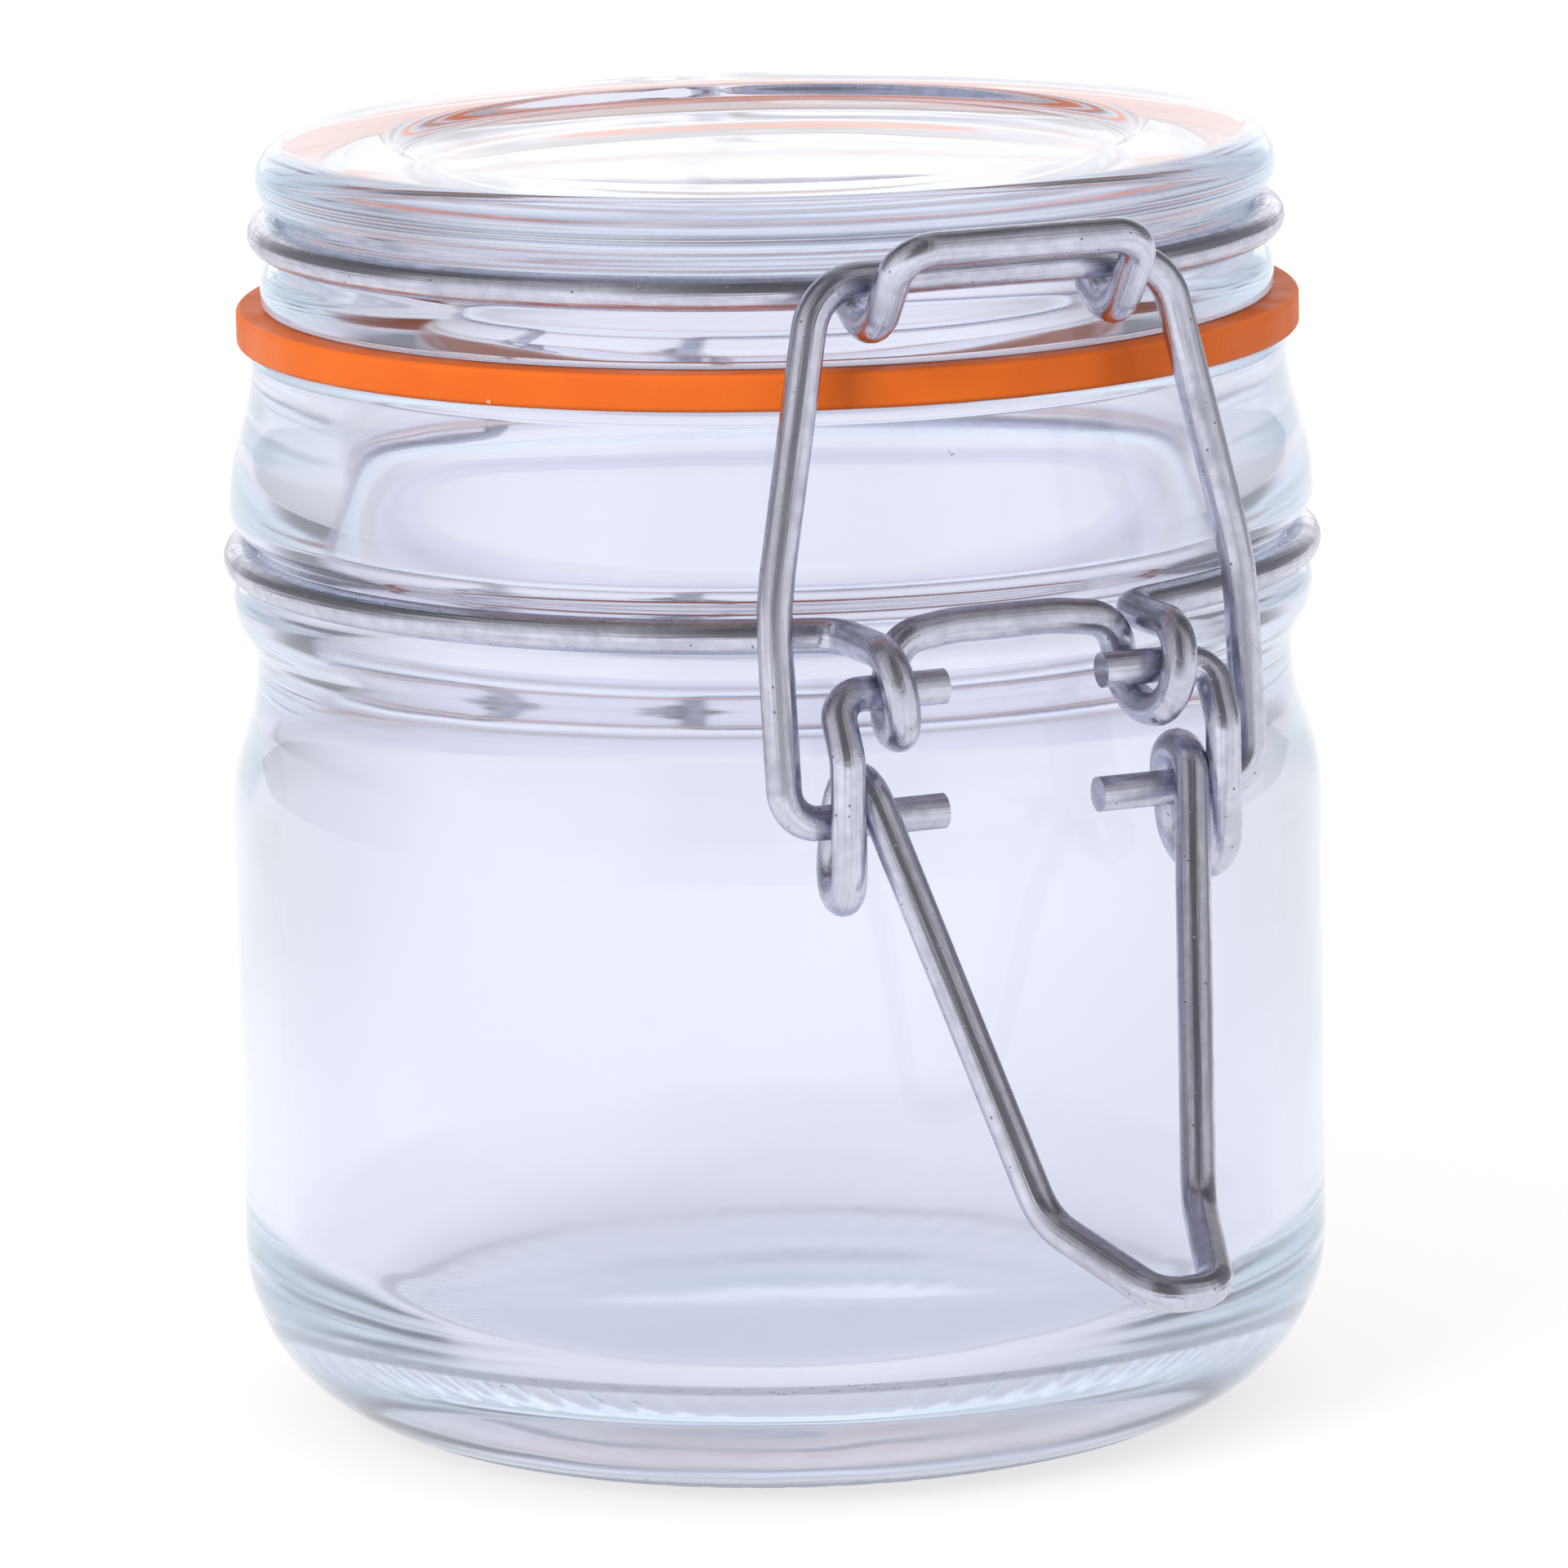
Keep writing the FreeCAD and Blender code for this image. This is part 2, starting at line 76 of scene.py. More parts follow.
start_fresh()
bpy.ops.object.camera_add()
camera = bpy.context.object
camera.name = "camera"
camera.data.lens = LENS_MM
camera.data.sensor_width = SENSOR_MM
camera.data.sensor_fit = "HORIZONTAL"
camera.data.clip_start = NEAREST_SEEN
camera.data.dof.use_dof = False
stand = Matrix.Rotation(CAMERA_SIDE, 4, "Z") @ Matrix.Translation((0, -CAMERA_DISTANCE, CAMERA_HEIGHT))
aim = Matrix.Rotation(-CAMERA_PAN, 4, "Z") @ Matrix.Rotation(math.pi / 2 - CAMERA_PITCH, 4, "X")
camera.matrix_world = stand @ aim @ Matrix.Rotation(-CAMERA_ROLL, 4, "Z")
bpy.context.scene.camera = camera
bpy.context.scene.view_settings.view_transform = "Standard"
print("camera at, mm:", [round(v / MM, 1) for v in camera.matrix_world.translation])

# %% [markdown]
# Light crosses many faces of glass on its way through the jar, and goes round and round inside
# the thick heel. A path that is cut short counts as black, and clear glass would get black
# corners. So each path may go on for longer than Blender's usual dozen turns.

# %% Light depth
LIGHT_DEPTH = 20

paths = bpy.context.scene.cycles
paths.max_bounces = LIGHT_DEPTH
paths.glossy_bounces = LIGHT_DEPTH
paths.transmission_bounces = LIGHT_DEPTH
print("light paths: up to", paths.max_bounces, "turns")

# %% [markdown]
# Nodes are wired in the same few ways over and over, so a few small helpers do it: a sum on
# sockets or numbers, a stretch of one range onto another, a mix of two levels or colours, and the
# parts of a place.

# %% Node helpers
def join(tree, source, socket):
    """Link a socket to an input, or write a plain number or colour there."""
    if isinstance(source, bpy.types.NodeSocket):
        tree.links.new(source, socket)
    else:
        socket.default_value = source


def reckoned(tree, operation, *terms):
    node = tree.nodes.new("ShaderNodeMath")
    node.operation = operation
    for term, socket in zip(terms, node.inputs):
        join(tree, term, socket)
    return node.outputs["Value"]


def stretched(tree, value, from_low, from_high, to_low, to_high):
    node = tree.nodes.new("ShaderNodeMapRange")
    join(tree, value, node.inputs["Value"])
    join(tree, from_low, node.inputs["From Min"])
    join(tree, from_high, node.inputs["From Max"])
    join(tree, to_low, node.inputs["To Min"])
    join(tree, to_high, node.inputs["To Max"])
    return node.outputs["Result"]


def between(tree, share, first, second):
    """The first level where the share is nought, and the second where it is one."""
    node = tree.nodes.new("ShaderNodeMix")
    join(tree, share, node.inputs["Factor"])
    join(tree, first, node.inputs["A"])
    join(tree, second, node.inputs["B"])
    return node.outputs["Result"]


def tinted(tree, share, first, second):
    """The first colour where the share is nought, and the second where it is one."""
    node = tree.nodes.new("ShaderNodeMix")
    node.data_type = "RGBA"
    join(tree, share, node.inputs["Factor"])
    join(tree, first, node.inputs["A"])
    join(tree, second, node.inputs["B"])
    return node.outputs["Result"]


def split(tree, vector):
    """The three parts of a place or a direction."""
    node = tree.nodes.new("ShaderNodeSeparateXYZ")
    join(tree, vector, node.inputs["Vector"])
    return node.outputs["X"], node.outputs["Y"], node.outputs["Z"]


def off_axis(tree, across, deep):
    """How far a place is from the jar's axis."""
    squares = reckoned(tree, "MULTIPLY_ADD", across, across, reckoned(tree, "MULTIPLY", deep, deep))
    return reckoned(tree, "SQRT", squares)


print("helpers: join, reckoned, stretched, between, tinted, split, off_axis")

# %% [markdown]
# Clear glass has no colour of its own to show, so the studio draws it. The floor shines white to
# the camera and in the wires, and keeps the jar's soft shadow. Through the glass it is a pale
# lavender, which gives the glass its cool cast, with a grey card a little way off to the left and
# to the right, which give it soft grey edges.

# %% White floor
WHITE = (1.0, 1.0, 1.0, 1.0)
LAVENDER = (0.76, 0.77, 0.93, 1.0)
FLOOR_SIZE = 8.0
FLOOR_DROP = 0.02 * MM
FLOOR_MATTE = (0.42, 0.42, 0.42, 1.0)
FLOOR_GLOW = 0.68
CARD_SIDE = (0.2, 0.5, 0.0, 0.42)
CARD_REACH = (0.1, 0.25, 0.0, 1.0)


def card_shade(tree):
    """Nought on the open floor, and more on the cards to the left and right of the camera's aim."""
    across, deep, _ = split(tree, tree.nodes.new("ShaderNodeTexCoord").outputs["Object"])
    far = off_axis(tree, across, deep)
    to_right = reckoned(tree, "MULTIPLY", across, math.cos(CAMERA_SIDE))
    to_right = reckoned(tree, "MULTIPLY_ADD", deep, math.sin(CAMERA_SIDE), to_right)
    sideways = reckoned(tree, "ABSOLUTE", reckoned(tree, "DIVIDE", to_right, far))
    shade = stretched(tree, sideways, *CARD_SIDE)
    return reckoned(tree, "MULTIPLY", shade, stretched(tree, far, *CARD_REACH))


def white_floor():
    start_fresh()
    bpy.ops.mesh.primitive_plane_add(size=FLOOR_SIZE, location=(0, 0, -FLOOR_DROP))
    floor = bpy.context.object
    floor.name = "floor"
    material = bpy.data.materials.new("white floor")
    material.use_nodes = True
    tree = material.node_tree
    tree.nodes.clear()
    output = tree.nodes.new("ShaderNodeOutputMaterial")
    matte = tree.nodes.new("ShaderNodeBsdfDiffuse")
    matte.inputs["Color"].default_value = FLOOR_MATTE
    path = tree.nodes.new("ShaderNodeLightPath").outputs
    seen = reckoned(tree, "MAXIMUM", path["Is Camera Ray"], path["Is Glossy Ray"])
    seen = reckoned(tree, "MAXIMUM", seen, path["Is Transmission Ray"])
    grey = reckoned(tree, "MULTIPLY", card_shade(tree), path["Is Transmission Ray"])
    level = stretched(tree, grey, 0.0, 1.0, FLOOR_GLOW, 0.0)
    glow = tree.nodes.new("ShaderNodeEmission")
    join(tree, reckoned(tree, "MULTIPLY", seen, level), glow.inputs["Strength"])
    join(tree, tinted(tree, path["Is Transmission Ray"], WHITE, LAVENDER), glow.inputs["Color"])
    both = tree.nodes.new("ShaderNodeAddShader")
    join(tree, matte.outputs["BSDF"], both.inputs[0])
    join(tree, glow.outputs["Emission"], both.inputs[1])
    join(tree, both.outputs["Shader"], output.inputs["Surface"])
    floor.data.materials.append(material)


white_floor()
print("floor:", FLOOR_SIZE, "m across, with grey cards to both sides for the glass")

# %% [markdown]
# The room is white to the camera. Through the glass it is lavender too, and a little greyer
# overhead. In the wires it has upright dark screens, which give them their long dark and bright
# lines.

# %% White room
ROOM_FILL = 0.75
EYE_LEVEL = 0.1
OVERHEAD = 0.8
THROUGH_GLASS = (1.04, 0.85)
IN_WIRE = (1.0, 0.4)
SCREENS = 3
SCREEN_TURN = 0.5
SCREEN_EDGES = (-0.35, 0.35)
SCREEN_DARK = 0.26


def white_room():
    world = bpy.data.worlds.new("white room")
    bpy.context.scene.world = world
    world.use_nodes = True
    tree = world.node_tree
    tree.nodes.clear()
    path = tree.nodes.new("ShaderNodeLightPath").outputs
    across, deep, height = split(tree, tree.nodes.new("ShaderNodeTexCoord").outputs["Generated"])
    through = stretched(tree, height, EYE_LEVEL, OVERHEAD, *THROUGH_GLASS)
    mirrored = stretched(tree, height, EYE_LEVEL, OVERHEAD, *IN_WIRE)
    round_the_room = reckoned(tree, "ARCTAN2", across, deep)
    turn = reckoned(tree, "MULTIPLY_ADD", round_the_room, float(SCREENS), SCREEN_TURN)
    screen = stretched(tree, reckoned(tree, "SINE", turn), *SCREEN_EDGES, SCREEN_DARK, 1.0)
    mirrored = reckoned(tree, "MULTIPLY", mirrored, screen)
    level = between(tree, path["Is Transmission Ray"], ROOM_FILL, through)
    level = between(tree, path["Is Glossy Ray"], level, mirrored)
    level = between(tree, path["Is Camera Ray"], level, 1.0)
    background = tree.nodes.new("ShaderNodeBackground")
    join(tree, tinted(tree, path["Is Transmission Ray"], WHITE, LAVENDER), background.inputs["Color"])
    join(tree, level, background.inputs["Strength"])
    output = tree.nodes.new("ShaderNodeOutputWorld")
    join(tree, background.outputs["Background"], output.inputs["Surface"])


white_room()
print("room: white, with", SCREENS, "dark screens for the wires")

# %% [markdown]
# Soft boxes light the rubber and the floor: a strong one on the left and a weak one on the
# right. Neither shows as a bright square in the glass, because mirrored rays pass it by. A third,
# low at the back, is there for the top of the lid, which mirrors it as a milky sheen.

# %% Soft boxes
AIM_POINT = Vector((0, 0, 50 * MM))


def soft_box(name, side_deg, height, reach, wide, tall, watts, mirrored=False):
    """An area lamp that looks at the jar's middle. The side is counted from the clasp, in degrees."""
    side = math.radians(side_deg)
    place = Vector((reach * math.sin(side), -reach * math.cos(side), height))
    start_fresh()
    bpy.ops.object.light_add(type="AREA", location=place)
    lamp = bpy.context.object
    lamp.name = name
    lamp.data.shape = "RECTANGLE"
    lamp.data.size = wide
    lamp.data.size_y = tall
    lamp.data.energy = watts
    lamp.visible_glossy = mirrored
    lamp.visible_transmission = False
    lamp.rotation_euler = (AIM_POINT - place).to_track_quat("-Z", "Y").to_euler()


soft_box("left_box", side_deg=-58, height=0.4, reach=0.8, wide=0.35, tall=0.6, watts=4.5)
soft_box("right_box", side_deg=48, height=0.5, reach=0.8, wide=0.18, tall=0.6, watts=0.9)
soft_box("back_box", side_deg=157, height=0.28, reach=0.9, wide=0.8, tall=0.36, watts=0.38,
         mirrored=True)

# %% [markdown]
# Every piece here follows a line: the half section of the glass, or the route of a wire. By hand,
# one vertex is extruded from place to place along it. That chain is then spun round the axis to
# make a turned piece, or made a curve with a round section to make a wire.

# %% A chain of vertices
def chain(name, places):
    """One vertex extruded along the places, which are in millimetres."""
    start_fresh()
    bpy.ops.mesh.primitive_plane_add(size=MM, location=(0, 0, 0))
    piece = bpy.context.object
    piece.name = name
    bpy.ops.object.mode_set(mode="EDIT")
    bpy.ops.mesh.select_all(action="SELECT")
    bpy.ops.mesh.merge(type="CENTER")
    bpy.ops.transform.translate(value=places[0] * MM)
    for here, there in zip(places, places[1:]):
        bpy.ops.mesh.extrude_region_move(TRANSFORM_OT_translate={"value": (there - here) * MM})
    bpy.ops.mesh.select_all(action="SELECT")
    return piece


print("chain: one vertex, extruded from place to place")

# %% [markdown]
# The jar, the lid and the seal are round, so each is one half section turned about the jar's axis.
# A section is drawn as straight runs and arcs. A swell is two equal arcs that leave and arrive
# upright, which is how a blown bead, neck or groove goes. Moulded glass has no sharp corner,
# so the corners of the drawn section are softened before it is turned.

# %% Section drawing
ARC_STEP = math.radians(7.5)
FEWEST_STEPS = 3
CORNER_STEPS = 5
CORNER_TURN = math.radians(20)
CORNER_SHARE = 0.45
TURN_STEPS = 256
MERGE = 0.001 * MM
SMOOTH_BELOW = math.radians(35)


class Section:
    """A half section in millimetres: the radius from the axis, and the height."""

    def __init__(self, radius, height):
        self.points = [Vector((radius, height))]

    def line(self, radius, height):
        self.points.append(Vector((radius, height)))

    def arc(self, radius, height, level_with_start):
        """An arc whose centre is level with its start or its end."""
        here, there = self.points[-1], Vector((radius, height))
        level, other = (here, there) if level_with_start else (there, here)
        rise = other.y - level.y
        centre_x = (other.x ** 2 - level.x ** 2 + rise ** 2) / (2 * (other.x - level.x))
        centre = Vector((centre_x, level.y))
        turn = (there - centre).angle_signed(here - centre)
        steps = max(FEWEST_STEPS, math.ceil(abs(turn) / ARC_STEP))
        for step in range(1, steps):
            self.points.append(centre + Matrix.Rotation(turn * step / steps, 2) @ (here - centre))
        self.points.append(there)

    def swell(self, radius, height):
        middle = (self.points[-1] + Vector((radius, height))) / 2
        self.arc(middle.x, middle.y, True)
        self.arc(radius, height, False)

    def softened(self, rounding):
        """The places of the section, with each sharp corner replaced by a small curve."""
        soft = [self.points[0]]
        for before, corner, after in zip(self.points, self.points[1:], self.points[2:]):
            arrive, leave = corner - before, after - corner
            if arrive.angle(leave) < CORNER_TURN:
                soft.append(corner)
                continue
            first = corner - arrive.normalized() * min(rounding, arrive.length * CORNER_SHARE)
            last = corner + leave.normalized() * min(rounding, leave.length * CORNER_SHARE)
            for step in range(CORNER_STEPS + 1):
                share = step / CORNER_STEPS
                soft.append(first.lerp(corner, share).lerp(corner.lerp(last, share), share))
        return [Vector((point.x, 0, point.y)) for point in soft + [self.points[-1]]]


def turned(name, places):
    """Spin a chain of edges about the jar's axis."""
    piece = chain(name, places)
    bpy.ops.mesh.spin(steps=TURN_STEPS, angle=2 * math.pi, center=(0, 0, 0), axis=(0, 0, 1))
    bpy.ops.mesh.select_all(action="SELECT")
    bpy.ops.mesh.remove_doubles(threshold=MERGE)
    bpy.ops.mesh.normals_make_consistent(inside=False)
    bpy.ops.object.mode_set(mode="OBJECT")
    bpy.ops.object.shade_smooth_by_angle(angle=SMOOTH_BELOW)
    print("%s: %d faces" % (name, len(piece.data.polygons)))
    return piece


print("sections: turned in", TURN_STEPS, "steps")

# %% [markdown]
# The jar: a straight body on a wide rounded heel, a waist, a bead, the groove that holds the neck
# wire, a shoulder and the rim. The wall is thin and the floor is thick, as in pressed glass.
# The underside is pushed up in the middle so that the jar stands on a ring, and that push-up
# is drawn as a swell, because on the real jar no line shows where it begins.

# %% Jar section
WIRE = 2.5
WIRE_RADIUS = WIRE / 2
SEAT = WIRE_RADIUS + 0.1
BODY_RADIUS = 40.0
HEEL = 12.5
FOOT_RADIUS = BODY_RADIUS - HEEL
FOOT_WIDTH = 5.5
PUSH_UP_DEPTH = 0.9
PUSH_UP_FLAT = 1.0
PUSH_UP_STEPS = 16
RIM_HEIGHT = 79.2
BODY_TOP = 45.0
WAIST_RADIUS = 37.9
WAIST_HEIGHT = 56.0
BEAD_RADIUS = 39.5
NECK_WIRE_HEIGHT = 63.8
NECK_WIRE_RADIUS = BEAD_RADIUS - WIRE_RADIUS / 2
BEAD_HEIGHT = NECK_WIRE_HEIGHT - 2.9
SHOULDER_RADIUS = 39.6
SHOULDER_HEIGHT = NECK_WIRE_HEIGHT + 3.8
RIM_RADIUS = 37.7
RIM_ROUNDING = 0.9
MOUTH_RADIUS = 33.0
MOUTH_LENGTH = 16.0
INSIDE_RADIUS = BODY_RADIUS - 3.2
FLOOR_TOP = 7.0
FLOOR_ROUNDING = 9.0
JAR_CORNER = 1.0

jar_line = Section(0, PUSH_UP_DEPTH)
jar_line.line(PUSH_UP_FLAT, PUSH_UP_DEPTH)
foot_edge = FOOT_RADIUS - FOOT_WIDTH
for step in range(1, PUSH_UP_STEPS + 1):
    share = step / PUSH_UP_STEPS
    fall = (1 + math.cos(math.pi * share)) / 2
    jar_line.line(PUSH_UP_FLAT + (foot_edge - PUSH_UP_FLAT) * share, PUSH_UP_DEPTH * fall)
jar_line.line(FOOT_RADIUS, 0)
jar_line.arc(BODY_RADIUS, HEEL, False)
jar_line.line(BODY_RADIUS, BODY_TOP)
jar_line.swell(WAIST_RADIUS, WAIST_HEIGHT)
jar_line.swell(BEAD_RADIUS, BEAD_HEIGHT)
jar_line.swell(NECK_WIRE_RADIUS - SEAT, NECK_WIRE_HEIGHT)
jar_line.swell(SHOULDER_RADIUS, SHOULDER_HEIGHT)
jar_line.swell(RIM_RADIUS, RIM_HEIGHT - RIM_ROUNDING)
jar_line.arc(RIM_RADIUS - RIM_ROUNDING, RIM_HEIGHT, True)
jar_line.line(MOUTH_RADIUS + RIM_ROUNDING, RIM_HEIGHT)
jar_line.arc(MOUTH_RADIUS, RIM_HEIGHT - RIM_ROUNDING, False)
jar_line.line(MOUTH_RADIUS, RIM_HEIGHT - MOUTH_LENGTH)
jar_line.swell(INSIDE_RADIUS, BODY_TOP)
jar_line.line(INSIDE_RADIUS, FLOOR_TOP + FLOOR_ROUNDING)
jar_line.arc(INSIDE_RADIUS - FLOOR_ROUNDING, FLOOR_TOP, True)
jar_line.line(0, FLOOR_TOP)
jar = turned("jar_glass", jar_line.softened(JAR_CORNER))

# %% [markdown]
# Round the heel, just outside the foot, the mould has a row of small nicks, which keep the hot
# jar from sliding on the belt. They are every few columns of the turned mesh, pushed in a little.

# %% Heel nicks
NICK_EVERY = 4
NICK_INNER = 28.6
NICK_OUTER = 31.0
NICK_TOP = 1.0
NICK_DEPTH = 0.4


def press_heel_nicks(piece):
    step = 2 * math.pi / TURN_STEPS
    pressed = 0
    start_fresh()
    piece.select_set(True)
    bpy.context.view_layer.objects.active = piece
    bpy.ops.object.mode_set(mode="EDIT")
    bpy.ops.mesh.select_mode(type="VERT")
    bpy.ops.mesh.select_all(action="DESELECT")
    bpy.ops.object.mode_set(mode="OBJECT")
    for vertex in piece.data.vertices:
        place = vertex.co / MM
        column = round(math.atan2(place.y, place.x) / step)
        on_heel = NICK_INNER < math.hypot(place.x, place.y) < NICK_OUTER and place.z < NICK_TOP
        vertex.select = on_heel and column % NICK_EVERY == 0
        pressed += vertex.select
    bpy.ops.object.mode_set(mode="EDIT")
    bpy.ops.transform.translate(value=(0, 0, NICK_DEPTH * MM))
    bpy.ops.object.mode_set(mode="OBJECT")
    print("heel nicks:", pressed, "points pressed in")


press_heel_nicks(jar)

# %% [markdown]
# The lid: a thick disc with a shallow dish on top, a groove for its wire, a flat flange that
# presses on the seal, and a hollow plug that drops into the mouth. A faint ring in the dish is
# where the plunger of the mould ended.

# %% Lid section
SEAL_BOTTOM = RIM_HEIGHT + 0.3
SEAL_TOP = SEAL_BOTTOM + 2.7
LID_WIRE_HEIGHT = SEAL_TOP + 5.3
LID_FLANGE_RADIUS = 36.9
LID_FLANGE_HEIGHT = 1.4
LID_BEAD_RADIUS = 37.1
LID_BEAD_HEIGHT = LID_WIRE_HEIGHT + 4.0
LID_WIRE_RADIUS = LID_BEAD_RADIUS - WIRE_RADIUS / 2
LID_EDGE_ROUNDING = 2.5
LID_TOP = LID_BEAD_HEIGHT + LID_EDGE_ROUNDING
DISH_RADIUS = 27.5
DISH_SLOPE = 1.6
DISH_BOTTOM = LID_TOP - 0.9
MOULD_RING_RADIUS = 23.6
MOULD_RING_WIDTH = 0.8
MOULD_RING_DEPTH = 0.12
LID_UNDERSIDE = DISH_BOTTOM - 6.0
PLUG_RADIUS = 31.3
PLUG_DRAFT = 0.5
PLUG_WALL = 5.0
PLUG_BOTTOM = SEAL_TOP - 5.0
LID_CORNER = 0.7

plug_tip = PLUG_RADIUS - PLUG_DRAFT
lid_line = Section(0, LID_UNDERSIDE)
lid_line.line(plug_tip - PLUG_WALL - PLUG_DRAFT, LID_UNDERSIDE)
lid_line.line(plug_tip - PLUG_WALL, PLUG_BOTTOM)
lid_line.line(plug_tip, PLUG_BOTTOM)
lid_line.line(PLUG_RADIUS, SEAL_TOP)
lid_line.line(LID_FLANGE_RADIUS, SEAL_TOP)
lid_line.line(LID_FLANGE_RADIUS, SEAL_TOP + LID_FLANGE_HEIGHT)
lid_line.swell(LID_WIRE_RADIUS - SEAT, LID_WIRE_HEIGHT)
lid_line.swell(LID_BEAD_RADIUS, LID_BEAD_HEIGHT)
lid_line.arc(LID_BEAD_RADIUS - LID_EDGE_ROUNDING, LID_TOP, True)
lid_line.line(DISH_RADIUS, LID_TOP)
lid_line.line(DISH_RADIUS - DISH_SLOPE, DISH_BOTTOM)
lid_line.line(MOULD_RING_RADIUS, DISH_BOTTOM)
lid_line.line(MOULD_RING_RADIUS - MOULD_RING_WIDTH, DISH_BOTTOM - MOULD_RING_DEPTH)
lid_line.line(0, DISH_BOTTOM - MOULD_RING_DEPTH)
lid = turned("lid_glass", lid_line.softened(LID_CORNER))

# %% [markdown]
# The seal is a plain flat ring of rubber, cut a little wider than the rim it sits on. A hair of air
# is left above it, so that its top and the underside of the lid's flange don't lie in one place.

# %% Seal section
SEAL_RADIUS = 38.7
SEAL_BORE = 32.2
SEAL_EDGE = 0.4
SEAL_CORNER = 0.3
SEAL_FACE = SEAL_TOP - 0.05

seal_line = Section(SEAL_BORE, SEAL_BOTTOM)
seal_line.line(SEAL_RADIUS - SEAL_EDGE, SEAL_BOTTOM)
seal_line.arc(SEAL_RADIUS, SEAL_BOTTOM + SEAL_EDGE, False)
seal_line.line(SEAL_RADIUS, SEAL_FACE - SEAL_EDGE)
seal_line.arc(SEAL_RADIUS - SEAL_EDGE, SEAL_FACE, True)
seal_line.line(SEAL_BORE, SEAL_FACE)
seal_line.line(SEAL_BORE, SEAL_BOTTOM)
seal = turned("seal_ring", seal_line.softened(SEAL_CORNER))

# %% [markdown]
# A wire is a route of corner points, each with the radius it is bent to on the bench. The left
# half is drawn from the middle outwards and carried across, because every one of the four wires
# is the same on both sides.

# %% Wire routes
BEND_STEP = math.radians(9)
FEWEST_BEND_STEPS = 2
RING_STEP = math.radians(2.5)


def bent(corners):
    """Places along straight runs joined by bends. A corner is a place and its bend radius."""
    route = [Vector(corners[0][0])]
    for before, corner, after in zip(corners, corners[1:], corners[2:]):
        point, radius = Vector(corner[0]), corner[1]
        arrive = (point - Vector(before[0])).normalized()
        leave = (Vector(after[0]) - point).normalized()
        turn = arrive.angle(leave)
        begin = point - arrive * radius * math.tan(turn / 2)
        inward = (leave - arrive).normalized()
        centre = point + inward * (radius / math.cos(turn / 2))
        axis = arrive.cross(leave)
        steps = max(FEWEST_BEND_STEPS, math.ceil(turn / BEND_STEP))
        for step in range(steps + 1):
            route.append(centre + Matrix.Rotation(turn * step / steps, 3, axis) @ (begin - centre))
    return route + [Vector(corners[-1][0])]


def on_ring(radius, angle, height):
    """A point on the left side of a ring, by its angle from the front."""
    return Vector((-radius * math.sin(angle), -radius * math.cos(angle), height))


def round_ring(radius, height, first, last):
    steps = math.ceil(abs(last - first) / RING_STEP)
    return [on_ring(radius, first + (last - first) * step / steps, height) for step in range(steps + 1)]


def leaving(radius, lead, half_width):
    """The angle where a straight run of that length leaves a ring, to end half_width from the middle."""
    return math.asin(half_width / math.hypot(radius, lead)) + math.atan2(lead, radius)


def run_end(radius, angle, height, lead, way):
    along = Vector((-math.cos(angle), math.sin(angle), 0)) * way
    return on_ring(radius, angle, height) + along * lead


print("routes: bent corners and ring arcs")

# %% [markdown]
# The route becomes a chain of vertices, the chain a curve, and the curve a mesh with a round
# section. The die that the wire was drawn through leaves streaks along it, and bending cracks its
# zinc, so each point keeps how far along the wire it is, which way it faces, and how bent the
# wire is there. The cut ends are set in a little, with the sharp rim that cutters leave.

# %% Wire drawing
SHORTEST_STEP = 0.02
LONGEST_STEP = 2.0
SECTION_FINENESS = 6
SECTION_SIDES = 2 * (SECTION_FINENESS + 2)
CUT_RIM = 0.25
CUT_DEPTH = 0.15
WIRE_SMOOTH_BELOW = math.radians(40)


def evened(route):
    """The route without doubled points, and with long runs cut into shorter steps."""
    kept = [route[0]]
    for point in route[1:]:
        start = kept[-1]
        gap = (point - start).length
        if gap < SHORTEST_STEP:
            continue
        steps = math.ceil(gap / LONGEST_STEP)
        kept += [start.lerp(point, step / steps) for step in range(1, steps + 1)]
    return kept


def mark_wire(mesh):
    """Write the place along and round the wire, and the bend there, on each point of each ring."""
    rings = len(mesh.vertices) // SECTION_SIDES
    centres = []
    for ring in range(rings):
        around = mesh.vertices[ring * SECTION_SIDES:(ring + 1) * SECTION_SIDES]
        centres.append(sum((vertex.co for vertex in around), Vector()) / SECTION_SIDES)
    mesh.attributes.new("drawn", "FLOAT_VECTOR", "POINT")
    mesh.attributes.new("bend", "FLOAT", "POINT")
    drawn = mesh.attributes["drawn"]
    bend = mesh.attributes["bend"]
    along = 0.0
    for ring, centre in enumerate(centres):
        arrive = centre - centres[max(ring - 1, 0)]
        leave = centres[min(ring + 1, rings - 1)] - centre
        along += arrive.length
        curl = arrive.angle(leave, 0.0) / max((arrive + leave).length, MM) * WIRE * MM
        for side in range(SECTION_SIDES):
            facing = 2 * math.pi * side / SECTION_SIDES
            number = ring * SECTION_SIDES + side
            drawn.data[number].vector = (along / MM, math.cos(facing), math.sin(facing))
            bend.data[number].value = curl
    return along / MM


